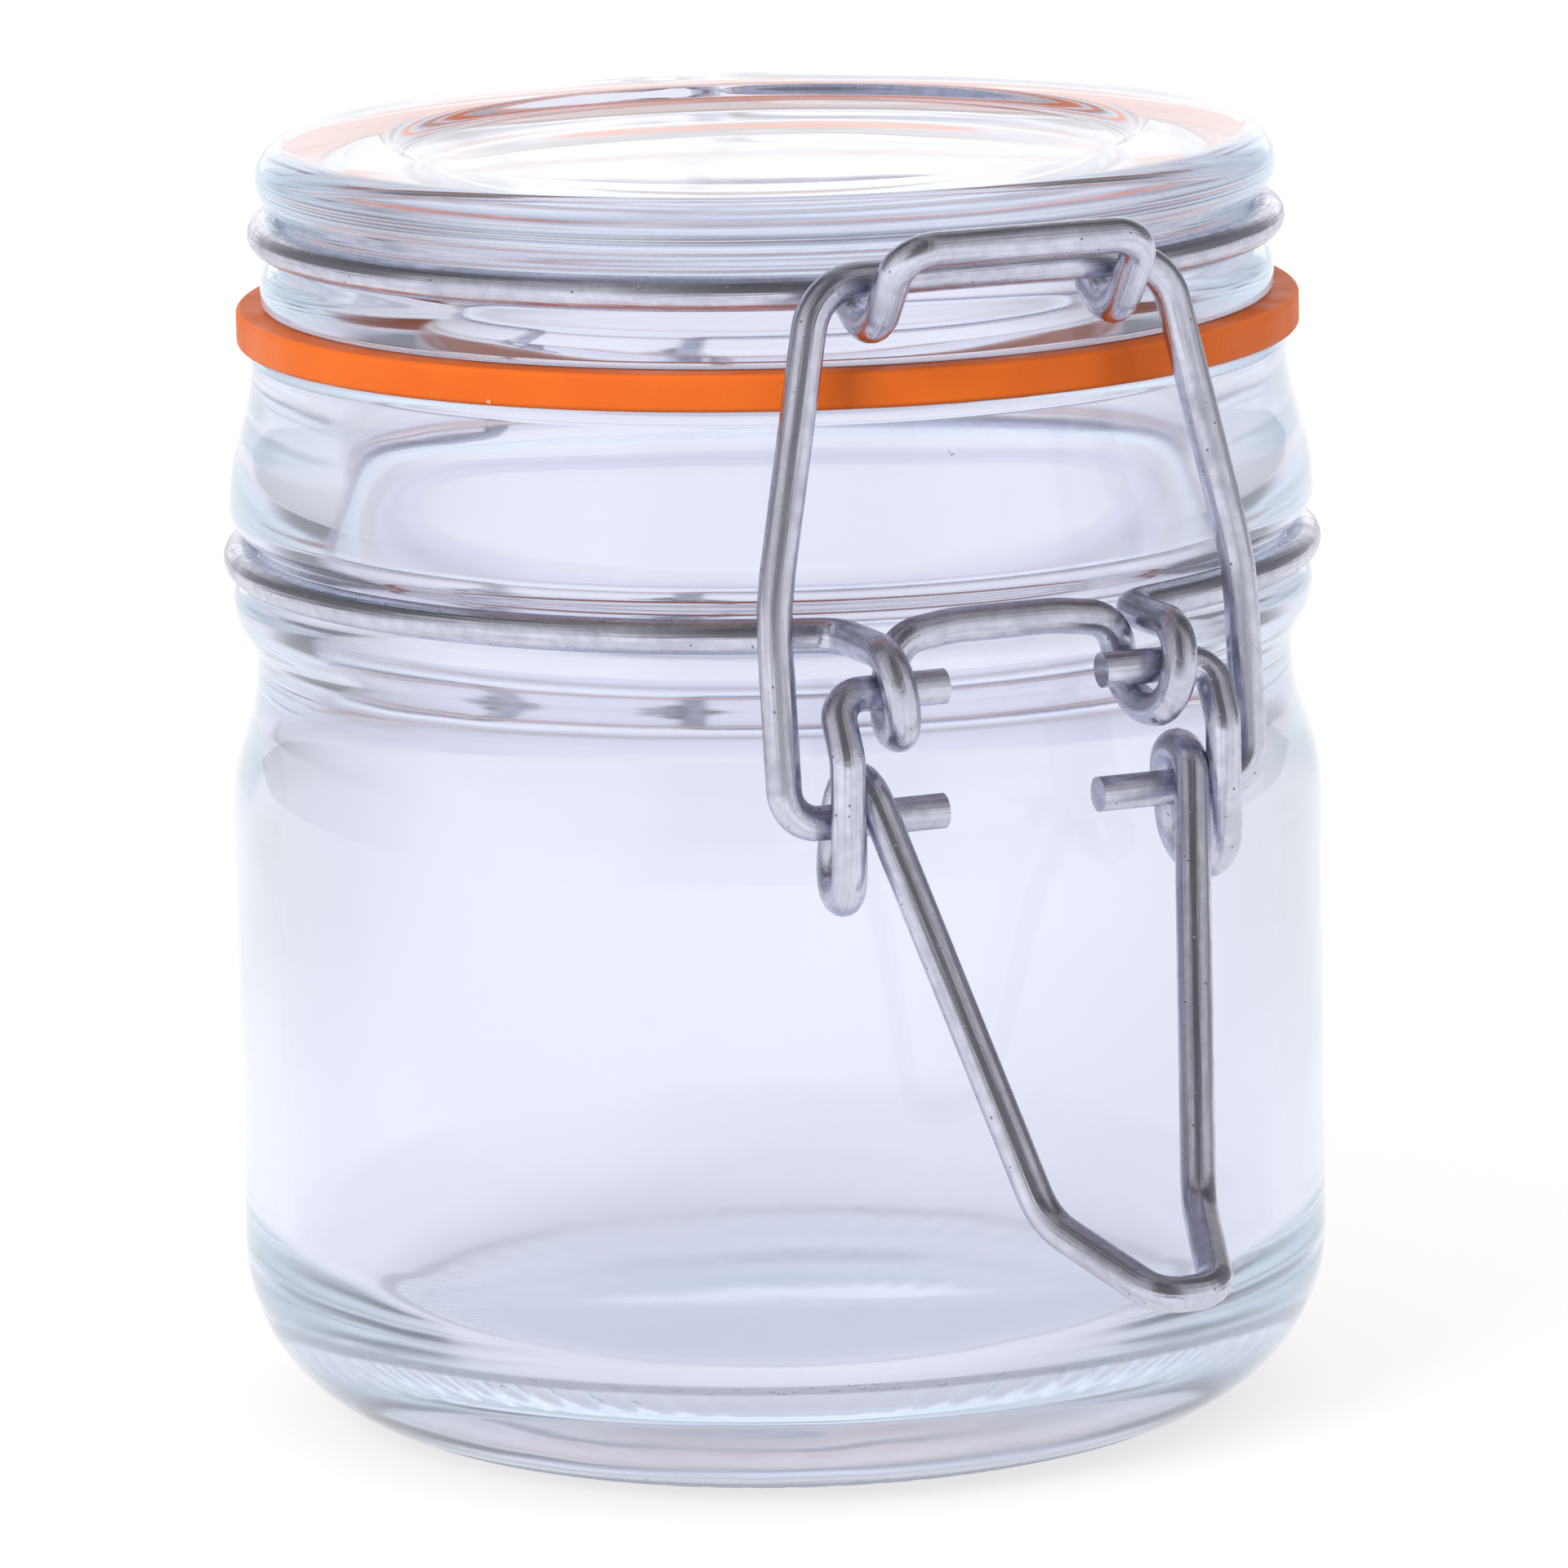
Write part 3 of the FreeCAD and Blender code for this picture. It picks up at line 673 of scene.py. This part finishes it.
def drawn_wire(name, half):
    """One round wire along the route and its mirror image, with cut ends."""
    route = [Vector((-p.x, p.y, p.z)) for p in reversed(half)] + half
    piece = chain(name, evened(route))
    bpy.ops.object.mode_set(mode="OBJECT")
    bpy.ops.object.convert(target="CURVE")
    piece = bpy.context.object
    piece.data.dimensions = "3D"
    piece.data.bevel_depth = WIRE_RADIUS * MM
    piece.data.bevel_resolution = SECTION_FINENESS
    piece.data.use_fill_caps = True
    bpy.ops.object.convert(target="MESH")
    piece = bpy.context.object
    length = mark_wire(piece.data)
    bpy.ops.object.mode_set(mode="EDIT")
    bpy.ops.mesh.select_all(action="DESELECT")
    bpy.ops.mesh.select_face_by_sides(number=SECTION_SIDES // 2, type="GREATER")
    bpy.ops.mesh.inset(thickness=CUT_RIM * MM, depth=-CUT_DEPTH * MM)
    bpy.ops.mesh.select_all(action="SELECT")
    bpy.ops.mesh.normals_make_consistent(inside=False)
    bpy.ops.object.mode_set(mode="OBJECT")
    bpy.ops.object.shade_smooth_by_angle(angle=WIRE_SMOOTH_BELOW)
    print("%s: %.0f mm of wire, %d faces" % (name, length, len(piece.data.polygons)))
    return piece


print("wires: round, with", SECTION_SIDES, "sides")

# %% [markdown]
# The neck wire lies in the groove. At the front it makes an eye on each side with a short arched
# bridge between them, and at the back its two ends rise and close into the eyes of the lid.

# %% Neck wire
BEND = 2.5
EYE = WIRE + 0.5
EYE_TURN = EYE - 0.1
EYE_OUTER = 11.0
EYE_INNER = 8.4
EYE_LEAD = 5.0
BRIDGE_SIDE = 4.0
BRIDGE_BEND = 12.0
BRIDGE_HEIGHT = NECK_WIRE_HEIGHT + 0.6
LEVER_PIVOT_Y = -44.0
LEVER_PIVOT_Z = NECK_WIRE_HEIGHT - EYE
HINGE_SIDE = 9.2
HINGE_Z = 75.6
RISER_CLEARANCE = 0.43
RISER_Y = math.sqrt(SHOULDER_RADIUS ** 2 - HINGE_SIDE ** 2) + WIRE_RADIUS + RISER_CLEARANCE
HINGE_Y = RISER_Y + EYE
HINGE_TAIL = 0.3

eye_third = (EYE_OUTER - EYE_INNER) / 3
eye_front = LEVER_PIVOT_Y - EYE
eye_back = LEVER_PIVOT_Y + EYE
eye_low = NECK_WIRE_HEIGHT - 2 * EYE
eye_angle = leaving(NECK_WIRE_RADIUS, EYE_LEAD, EYE_OUTER)
riser_run = math.sqrt(HINGE_SIDE ** 2 + RISER_Y ** 2 - NECK_WIRE_RADIUS ** 2)
riser_angle = math.pi - leaving(NECK_WIRE_RADIUS, riser_run, HINGE_SIDE)
neck_half = bent([
    ((0, eye_back, BRIDGE_HEIGHT), BEND),
    ((-BRIDGE_SIDE, eye_back, BRIDGE_HEIGHT), BRIDGE_BEND),
    ((-EYE_INNER, eye_back, NECK_WIRE_HEIGHT), WIRE),
    ((-EYE_INNER - eye_third, eye_back, eye_low), EYE_TURN),
    ((-EYE_OUTER + eye_third, eye_front, eye_low), EYE_TURN),
    ((-EYE_OUTER, eye_front, NECK_WIRE_HEIGHT), EYE_TURN),
    (run_end(NECK_WIRE_RADIUS, eye_angle, NECK_WIRE_HEIGHT, EYE_LEAD, -1), BEND),
    (on_ring(NECK_WIRE_RADIUS, eye_angle, NECK_WIRE_HEIGHT), BEND),
])
neck_half += round_ring(NECK_WIRE_RADIUS, NECK_WIRE_HEIGHT, eye_angle, riser_angle)
neck_half += bent([
    (on_ring(NECK_WIRE_RADIUS, riser_angle, NECK_WIRE_HEIGHT), BEND),
    ((-HINGE_SIDE, RISER_Y, NECK_WIRE_HEIGHT), BEND),
    ((-HINGE_SIDE, RISER_Y, HINGE_Z + EYE), EYE_TURN),
    ((-HINGE_SIDE, HINGE_Y + EYE, HINGE_Z + EYE), EYE_TURN),
    ((-HINGE_SIDE, HINGE_Y + EYE, HINGE_Z - EYE), EYE_TURN),
    ((-HINGE_SIDE, HINGE_Y - HINGE_TAIL, HINGE_Z - EYE), BEND),
])
neck = drawn_wire("neck_wire_drawn", neck_half)

# %% [markdown]
# The lid wire goes round the lid. At the front it dips under the bail's bar and comes up again as
# the nose, and at the back its ends turn down and in, to be the pins of the hinge.

# %% Lid wire
BAR_Y = -39.5
BAR_Z = LID_WIRE_HEIGHT + 1.4
HOOK = WIRE + 0.75
HOOK_Y = BAR_Y - 0.2 * HOOK
HOOK_Z = BAR_Z - 1.35 * HOOK
NOSE_SIDE = 9.2
NOSE_LEAD = 4.0
NOSE_ELBOW = 2.125
NOSE_Y = BAR_Y - 5.9
NOSE_Z = BAR_Z + 2.6
LEG_SIDE = 13.3
LEG_LEAD = 10.0
LEG_TOP = LID_WIRE_HEIGHT - 1.5
PIN_END = 5.6

nose_angle = leaving(LID_WIRE_RADIUS, NOSE_LEAD, NOSE_SIDE)
leg_angle = math.pi - leaving(LID_WIRE_RADIUS, LEG_LEAD, LEG_SIDE)
lid_half = bent([
    ((0, NOSE_Y, NOSE_Z), BEND),
    ((-NOSE_SIDE, NOSE_Y, NOSE_Z), BEND),
    ((-NOSE_SIDE, HOOK_Y, HOOK_Z), HOOK),
    (run_end(LID_WIRE_RADIUS, nose_angle, LID_WIRE_HEIGHT, NOSE_LEAD, -1), NOSE_ELBOW),
    (on_ring(LID_WIRE_RADIUS, nose_angle, LID_WIRE_HEIGHT), BEND),
])
lid_half += round_ring(LID_WIRE_RADIUS, LID_WIRE_HEIGHT, nose_angle, leg_angle)
lid_half += bent([
    (on_ring(LID_WIRE_RADIUS, leg_angle, LID_WIRE_HEIGHT), BEND),
    (run_end(LID_WIRE_RADIUS, leg_angle, LID_WIRE_HEIGHT, LEG_LEAD, 1), BEND),
    ((-LEG_SIDE, HINGE_Y, LEG_TOP), BEND),
    ((-LEG_SIDE, HINGE_Y, HINGE_Z), BEND),
    ((-PIN_END, HINGE_Y, HINGE_Z), BEND),
])
lid_ring = drawn_wire("lid_wire_drawn", lid_half)

# %% [markdown]
# The lever's pins turn in the neck wire's eyes. Its arms drop past the bail's pins, turn up behind
# them and over, and then run down and outwards as the handle, which ends in a tongue for the finger.

# %% Lever wire
BAIL_PIVOT_Y = -43.4
BAIL_PIVOT_Z = LEVER_PIVOT_Z - 8.9
LOOP = WIRE + 0.3
LOOP_TURN = LOOP - 0.1
LOOP_LOW = BAIL_PIVOT_Z - LOOP - 2.6
LEVER_SIDE = 14.3
LEVER_INNER = LEVER_SIDE - 2.0
LEVER_PIN_END = 6.0
LEVER_PIN_BEND = 2.0
LEVER_ELBOW = LEVER_PIVOT_Z - 4.0
HANDLE_LEAN = math.radians(26)
HANDLE_LENGTH = 32.0
HANDLE_SIDE = 5.8
HANDLE_BEND = 5.0
LIP_LEAN = math.radians(72)
LIP_LENGTH = 11.0
LIP_SIDE = 2.2
LIP_BEND = 2.5

lever_middle = (LEVER_SIDE + LEVER_INNER) / 2
loop_top = BAIL_PIVOT_Z + LOOP
loop_front = BAIL_PIVOT_Y - LOOP
loop_back = BAIL_PIVOT_Y + LOOP
over_reach = LOOP * (1 - math.sin(HANDLE_LEAN)) / math.cos(HANDLE_LEAN)
handle_top = Vector((-LEVER_INNER, BAIL_PIVOT_Y - over_reach, loop_top))
handle_end = handle_top + Vector((0, -math.sin(HANDLE_LEAN), -math.cos(HANDLE_LEAN))) * HANDLE_LENGTH
handle_end.x = -HANDLE_SIDE
lip_end = handle_end + Vector((0, -math.sin(LIP_LEAN), -math.cos(LIP_LEAN))) * LIP_LENGTH
lip_end.x = -LIP_SIDE
lever_half = bent([
    ((0, lip_end.y, lip_end.z), BEND),
    (lip_end, LIP_BEND),
    (handle_end, HANDLE_BEND),
    (handle_top, LOOP_TURN),
    ((-LEVER_INNER, loop_back, loop_top), LOOP_TURN),
    ((-lever_middle, loop_back, LOOP_LOW), LOOP_TURN),
    ((-LEVER_SIDE, loop_front, LOOP_LOW), LOOP_TURN),
    ((-LEVER_SIDE, loop_front, LEVER_ELBOW), BEND),
    ((-LEVER_SIDE, LEVER_PIVOT_Y, LEVER_PIVOT_Z), LEVER_PIN_BEND),
    ((-LEVER_PIN_END, LEVER_PIVOT_Y, LEVER_PIVOT_Z), BEND),
])
lever = drawn_wire("lever_wire_drawn", lever_half)

# %% [markdown]
# The bail is the loop that pulls the lid down: a bar in the lid's nose, two legs that spread
# towards the bottom, and two pins that turn in the lever's loops.

# %% Bail wire
BAIL_SIDE = 17.8
BAR_SIDE = 13.2
BAIL_PIN_END = 5.9
KNEE_RISE = 15.0
KNEE_BEND = 25.0
BAR_BEND = 4.0

knee_share = KNEE_RISE / (BAR_Z - BAIL_PIVOT_Z)
knee_y = BAIL_PIVOT_Y + knee_share * (BAR_Y - BAIL_PIVOT_Y)
bail_half = bent([
    ((0, BAR_Y, BAR_Z), BEND),
    ((-BAR_SIDE, BAR_Y, BAR_Z), BAR_BEND),
    ((-BAIL_SIDE, knee_y, BAIL_PIVOT_Z + KNEE_RISE), KNEE_BEND),
    ((-BAIL_SIDE, BAIL_PIVOT_Y, BAIL_PIVOT_Z), BEND),
    ((-BAIL_PIN_END, BAIL_PIVOT_Y, BAIL_PIVOT_Z), BEND),
])
bail = drawn_wire("bail_wire_drawn", bail_half)

# %% [markdown]
# Two effects turn up in more than one finish, so each is a node group with its own inputs. The
# mottle is a slow unevenness between two values: wipe marks on glass, shade in rubber, dull zinc.
# The specks are small round spots, far apart: seeds in glass, dust on rubber, pits in zinc.

# %% Shared effects
BLACK = (0.0, 0.0, 0.0, 1.0)
MOTTLE_DETAIL = 4.0
MOTTLE_EDGES = (0.35, 0.65)
SPECK_SHARE = 0.72
SPECK_SOFTNESS = 0.6


def new_group(name, inputs, output):
    group = bpy.data.node_groups.new(name, "ShaderNodeTree")
    group.interface.new_socket("Place", in_out="INPUT", socket_type="NodeSocketVector")
    for label in inputs:
        group.interface.new_socket(label, in_out="INPUT", socket_type="NodeSocketFloat")
    group.interface.new_socket(output, in_out="OUTPUT", socket_type="NodeSocketFloat")
    given = group.nodes.new("NodeGroupInput").outputs
    result = group.nodes.new("NodeGroupOutput").inputs[output]
    return group, given, result


def texture(tree, kind, place, scale, detail=None):
    node = tree.nodes.new(kind)
    join(tree, place, node.inputs["Vector"])
    join(tree, scale, node.inputs["Scale"])
    if detail is not None:
        node.inputs["Detail"].default_value = detail
    return node.outputs


def mottle_group():
    group, given, result = new_group("mottle", ("Scale", "Low", "High"), "Level")
    cloud = texture(group, "ShaderNodeTexNoise", given["Place"], given["Scale"], MOTTLE_DETAIL)["Fac"]
    join(group, stretched(group, cloud, *MOTTLE_EDGES, given["Low"], given["High"]), result)
    return group


def speck_group():
    group, given, result = new_group("specks", ("Scale", "Size"), "Mask")
    cells = texture(group, "ShaderNodeTexVoronoi", given["Place"], given["Scale"])
    inner = reckoned(group, "MULTIPLY", given["Size"], SPECK_SOFTNESS)
    spot = stretched(group, cells["Distance"], inner, given["Size"], 1.0, 0.0)
    pick = group.nodes.new("ShaderNodeSeparateColor")
    join(group, cells["Color"], pick.inputs["Color"])
    chosen = reckoned(group, "GREATER_THAN", pick.outputs["Red"], SPECK_SHARE)
    join(group, reckoned(group, "MULTIPLY", spot, chosen), result)
    return group


mottle = mottle_group()
specks = speck_group()


def placed(tree, group, place, **values):
    """A group in a material, with its values, and its one output."""
    node = tree.nodes.new("ShaderNodeGroup")
    node.node_tree = group
    join(tree, place, node.inputs["Place"])
    for label, value in values.items():
        node.inputs[label].default_value = value
    return node.outputs[0]


def new_material(name):
    material = bpy.data.materials.new(name)
    material.use_nodes = True
    tree = material.node_tree
    place = tree.nodes.new("ShaderNodeTexCoord").outputs["Object"]
    return material, tree, tree.nodes["Principled BSDF"].inputs, place


def bump(tree, height, depth, below=None):
    node = tree.nodes.new("ShaderNodeBump")
    node.inputs["Distance"].default_value = depth * MM
    join(tree, height, node.inputs["Height"])
    if below is not None:
        join(tree, below, node.inputs["Normal"])
    return node.outputs["Normal"]


print("shared effects:", mottle.name, "and", specks.name)

# %% [markdown]
# Clear glass bends light at every face, and a thick edge is a little blue-green, so it is a lens
# with a faint absorption inside. The mould leaves a slow ripple on it, wiping leaves faint marks,
# and here and there a seed, a tiny bubble, sits just under the skin. A ring round the foot is
# stippled, and shows grey through the floor of the jar. Where light turns many times, in the heel
# and in the lid, the glass came out darker than in the photograph. So a path that has turned often
# gathers a little stray light there, which is matched and not a measured property of glass.

# %% Clear glass
GLASS_BEND = 1.5
GLASS_TINT = (0.97, 0.975, 0.995, 1.0)
GLASS_TINT_WIPED = (0.955, 0.962, 0.985, 1.0)
GLASS_INSIDE = (0.72, 0.86, 0.94, 1.0)
GLASS_DENSITY = 5.0
WIPE_MARKS = {"Scale": 35.0, "Low": 0.0, "High": 1.0}
GLASS_SKIN = {"Scale": 60.0, "Low": 0.03, "High": 0.11}
RIPPLE_SCALE = 42.0
RIPPLE_DETAIL = 2.0
RIPPLE_DEPTH = 0.22
SEEDS = {"Scale": 95.0, "Size": 0.03}
SEED_DEPTH = 0.12
STIPPLE_RADIUS = 32.3 * MM
STIPPLE_WIDTH = (0.8 * MM, 1.4 * MM)
STIPPLE_TOP = 2.0 * MM
STIPPLE_GREY = (0.6, 0.62, 0.68, 1.0)
STIPPLE_ROUGH = 0.5
STIPPLE_DOTS = {"Scale": 1100.0, "Size": 0.4}
STIPPLE_DEPTH = 0.2
STRAY_LIGHT = (0.1, 0.112, 0.126, 1.0)
STRAY_AFTER = 5.5
STRAY_HEEL = (6.0 * MM, 18.0 * MM, 1.0, 0.33)
STRAY_LID = (SEAL_BOTTOM * MM, SEAL_TOP * MM, 0.0, 0.6)


def stippled_ring(tree, place):
    """One in the ring round the foot, and nought elsewhere."""
    across, deep, up = split(tree, place)
    from_ring = reckoned(tree, "SUBTRACT", off_axis(tree, across, deep), STIPPLE_RADIUS)
    in_ring = stretched(tree, reckoned(tree, "ABSOLUTE", from_ring), *STIPPLE_WIDTH, 1.0, 0.0)
    return reckoned(tree, "MULTIPLY", in_ring, reckoned(tree, "LESS_THAN", up, STIPPLE_TOP))


def stray_light(tree, place):
    """The light gathered by a path that has turned often, by its height in the jar."""
    up = split(tree, place)[2]
    share = reckoned(tree, "MAXIMUM", stretched(tree, up, *STRAY_HEEL), stretched(tree, up, *STRAY_LID))
    turns = tree.nodes.new("ShaderNodeLightPath").outputs["Ray Depth"]
    often = reckoned(tree, "GREATER_THAN", turns, STRAY_AFTER)
    return tinted(tree, reckoned(tree, "MULTIPLY", often, share), BLACK, STRAY_LIGHT)


def clear_glass():
    material, tree, shader, place = new_material("clear moulded glass")
    shader["Transmission Weight"].default_value = 1.0
    shader["IOR"].default_value = GLASS_BEND
    stippled = stippled_ring(tree, place)
    wiped = placed(tree, mottle, place, **WIPE_MARKS)
    tint = tinted(tree, wiped, GLASS_TINT, GLASS_TINT_WIPED)
    join(tree, tinted(tree, stippled, tint, STIPPLE_GREY), shader["Base Color"])
    smooth = placed(tree, mottle, place, **GLASS_SKIN)
    rough = reckoned(tree, "MULTIPLY", stippled, STIPPLE_ROUGH)
    join(tree, reckoned(tree, "MAXIMUM", smooth, rough), shader["Roughness"])
    ripple = texture(tree, "ShaderNodeTexNoise", place, RIPPLE_SCALE, RIPPLE_DETAIL)["Fac"]
    skin = bump(tree, ripple, RIPPLE_DEPTH)
    skin = bump(tree, placed(tree, specks, place, **SEEDS), SEED_DEPTH, skin)
    dots = reckoned(tree, "MULTIPLY", stippled, placed(tree, specks, place, **STIPPLE_DOTS))
    join(tree, bump(tree, dots, STIPPLE_DEPTH, skin), shader["Normal"])
    join(tree, stray_light(tree, place), shader["Emission Color"])
    shader["Emission Strength"].default_value = 1.0
    material.cycles.emission_sampling = "NONE"
    inside = tree.nodes.new("ShaderNodeVolumeAbsorption")
    inside.inputs["Color"].default_value = GLASS_INSIDE
    inside.inputs["Density"].default_value = GLASS_DENSITY
    join(tree, inside.outputs["Volume"], tree.nodes["Material Output"].inputs["Volume"])
    return material


glass = clear_glass()
print("finish:", glass.name)

# %% [markdown]
# The seal is soft natural rubber: a strong even orange with a satin skin, a very fine grain from
# the mould, slow changes of shade, and a few pale specks of dust. Two more things are matched.
# Its top face, which is seen through the lid, came out too dark, so rays that come to it through
# glass get some light back, as a painted orange glow. Rays that have turned many times inside the
# jar's wall would carry the orange down to the heel as a brown band, which the photograph doesn't
# show, so for them the seal glows a painted pale grey-blue, which washes it out as pale as the glass.

# %% Orange rubber
RUBBER_FULL = (0.87, 0.165, 0.012, 1.0)
RUBBER_DEEP = (0.78, 0.135, 0.012, 1.0)
RUBBER_DUST = (0.9, 0.5, 0.3, 1.0)
RUBBER_GLOSS = 0.3
RUBBER_SHADE = {"Scale": 70.0, "Low": 0.0, "High": 1.0}
RUBBER_SATIN = {"Scale": 160.0, "Low": 0.42, "High": 0.6}
DUST_SPECKS = {"Scale": 420.0, "Size": 0.1}
GRAIN_SCALE = 2600.0
GRAIN_DETAIL = 3.0
GRAIN_DEPTH = 0.03
TOP_FACE = (SEAL_FACE - 0.1) * MM
ANY_GLASS = 0.5
# Painted glows: orange on the top face seen through the lid, pale grey-blue for rays turned many times.
LIT_THROUGH_LID = (0.46, 0.095, 0.012, 1.0)
PIPED_PALE_GLOW = (0.36, 0.43, 0.48, 1.0)


def light_through_glass(tree, place):
    """The painted glow that the seal gives back to rays that have come through glass or turned inside
    it.
    """
    path = tree.nodes.new("ShaderNodeLightPath").outputs
    top_face = reckoned(tree, "GREATER_THAN", split(tree, place)[2], TOP_FACE)
    through = reckoned(tree, "GREATER_THAN", path["Transmission Depth"], ANY_GLASS)
    # Painted glow: orange on the top face for rays through glass, pale grey-blue for much-turned rays.
    lit = tinted(tree, reckoned(tree, "MULTIPLY", top_face, through), BLACK, LIT_THROUGH_LID)
    piped = reckoned(tree, "GREATER_THAN", path["Ray Depth"], STRAY_AFTER)
    return tinted(tree, piped, lit, PIPED_PALE_GLOW)


def orange_rubber():
    material, tree, shader, place = new_material("orange rubber")
    shader["Specular IOR Level"].default_value = RUBBER_GLOSS
    shade = placed(tree, mottle, place, **RUBBER_SHADE)
    dust = placed(tree, specks, place, **DUST_SPECKS)
    plain = tinted(tree, shade, RUBBER_FULL, RUBBER_DEEP)
    join(tree, tinted(tree, dust, plain, RUBBER_DUST), shader["Base Color"])
    join(tree, placed(tree, mottle, place, **RUBBER_SATIN), shader["Roughness"])
    join(tree, light_through_glass(tree, place), shader["Emission Color"])
    shader["Emission Strength"].default_value = 1.0
    material.cycles.emission_sampling = "NONE"
    grain = texture(tree, "ShaderNodeTexNoise", place, GRAIN_SCALE, GRAIN_DETAIL)["Fac"]
    join(tree, bump(tree, grain, GRAIN_DEPTH), shader["Normal"])
    return material


rubber = orange_rubber()
print("finish:", rubber.name)

# %% [markdown]
# The wires are drawn steel with a thin coat of zinc. Streaks run along them, so their pattern
# follows the wire and not space: it is stretched far along, and fine round about. The zinc is
# dull in patches, pitted here and there, and cracked and scuffed bright where the wire is bent.

# %% Steel wire
ZINC_BRIGHT = (0.64, 0.645, 0.755, 1.0)
ZINC_DULL = (0.41, 0.415, 0.5, 1.0)
PIT_DARK = (0.34, 0.34, 0.38, 1.0)
STREAK_ALONG = 0.06
STREAK_ROUND = 3.2
STREAK_SCALE = 1.6
STREAK_DETAIL = 5.0
STREAK_SHADE = (0.3, 0.7, 0.0, 0.7)
STREAK_DEPTH = 0.05
DULL_PATCHES = {"Scale": 180.0, "Low": 0.0, "High": 0.6}
SCUFF_SCALE = 900.0
SCUFF_DETAIL = 4.0
SCUFF_SHADE = (0.35, 0.65, -0.18, 0.18)
CRACK_EDGES = (0.5, 0.62, 0.0, 1.0)
CRACK_DEPTH = 0.04
PITS = {"Scale": 1300.0, "Size": 0.14}
PIT_ROUGH = 0.6
ZINC_ROUGH = (0.0, 0.8, 0.16, 0.36)


def kept_on_wire(tree, name):
    """What each point of the wire keeps under that name."""
    node = tree.nodes.new("ShaderNodeAttribute")
    node.attribute_name = name
    return node.outputs


def steel_wire():
    material, tree, shader, place = new_material("drawn steel wire")
    shader["Metallic"].default_value = 1.0
    drawn_out = tree.nodes.new("ShaderNodeMapping")
    drawn_out.inputs["Scale"].default_value = (STREAK_ALONG, STREAK_ROUND, STREAK_ROUND)
    join(tree, kept_on_wire(tree, "drawn")["Vector"], drawn_out.inputs["Vector"])
    along = drawn_out.outputs["Vector"]
    streak = texture(tree, "ShaderNodeTexNoise", along, STREAK_SCALE, STREAK_DETAIL)["Fac"]
    dull = placed(tree, mottle, place, **DULL_PATCHES)
    scuff = texture(tree, "ShaderNodeTexNoise", place, SCUFF_SCALE, SCUFF_DETAIL)["Fac"]
    bend = kept_on_wire(tree, "bend")["Fac"]
    cracked = reckoned(tree, "MULTIPLY", bend, stretched(tree, scuff, *CRACK_EDGES))
    shade = reckoned(tree, "MAXIMUM", stretched(tree, streak, *STREAK_SHADE), dull)
    shade = reckoned(tree, "SUBTRACT", shade, cracked)
    shade = reckoned(tree, "ADD", shade, stretched(tree, scuff, *SCUFF_SHADE))
    pits = placed(tree, specks, place, **PITS)
    coat = tinted(tree, shade, ZINC_BRIGHT, ZINC_DULL)
    join(tree, tinted(tree, pits, coat, PIT_DARK), shader["Base Color"])
    pitted = reckoned(tree, "MULTIPLY", pits, PIT_ROUGH)
    rough = reckoned(tree, "MAXIMUM", stretched(tree, shade, *ZINC_ROUGH), pitted)
    join(tree, rough, shader["Roughness"])
    skin = bump(tree, streak, STREAK_DEPTH)
    relief = reckoned(tree, "SUBTRACT", cracked, pits)
    join(tree, bump(tree, relief, CRACK_DEPTH, skin), shader["Normal"])
    return material


steel = steel_wire()
print("finish:", steel.name)

# %% [markdown]
# Each piece now takes its finish, stands in for the plain solid of the same size, and rides on
# the body that the solid belongs to, so that it moves with the hinges.

# %% Dress the frame
dressed = [
    (jar, "glass_jar", "jar", "clear_glass", glass),
    (lid, "glass_lid", "lid", "clear_glass", glass),
    (seal, "rubber_seal", "lid", "orange_rubber", rubber),
    (neck, "neck_wire", "jar", "steel_wire", steel),
    (lid_ring, "lid_wire", "lid", "steel_wire", steel),
    (lever, "lever_wire", "lever", "steel_wire", steel),
    (bail, "bail_wire", "bail", "steel_wire", steel),
]


def reach_of(piece):
    corners = [Vector(corner) / MM for corner in piece.bound_box]
    return [round(f(c[axis] for c in corners), 2) for f in (min, max) for axis in range(3)]


for piece, node, body, slot, material in dressed:
    piece.data.materials.clear()
    piece.data.materials.append(material)
    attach(piece, body)
    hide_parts(node)
    solid = [round(v / MM, 2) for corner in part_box(node) for v in corner]
    print(node, "solid box, mm:", solid, "drawn:", reach_of(piece))
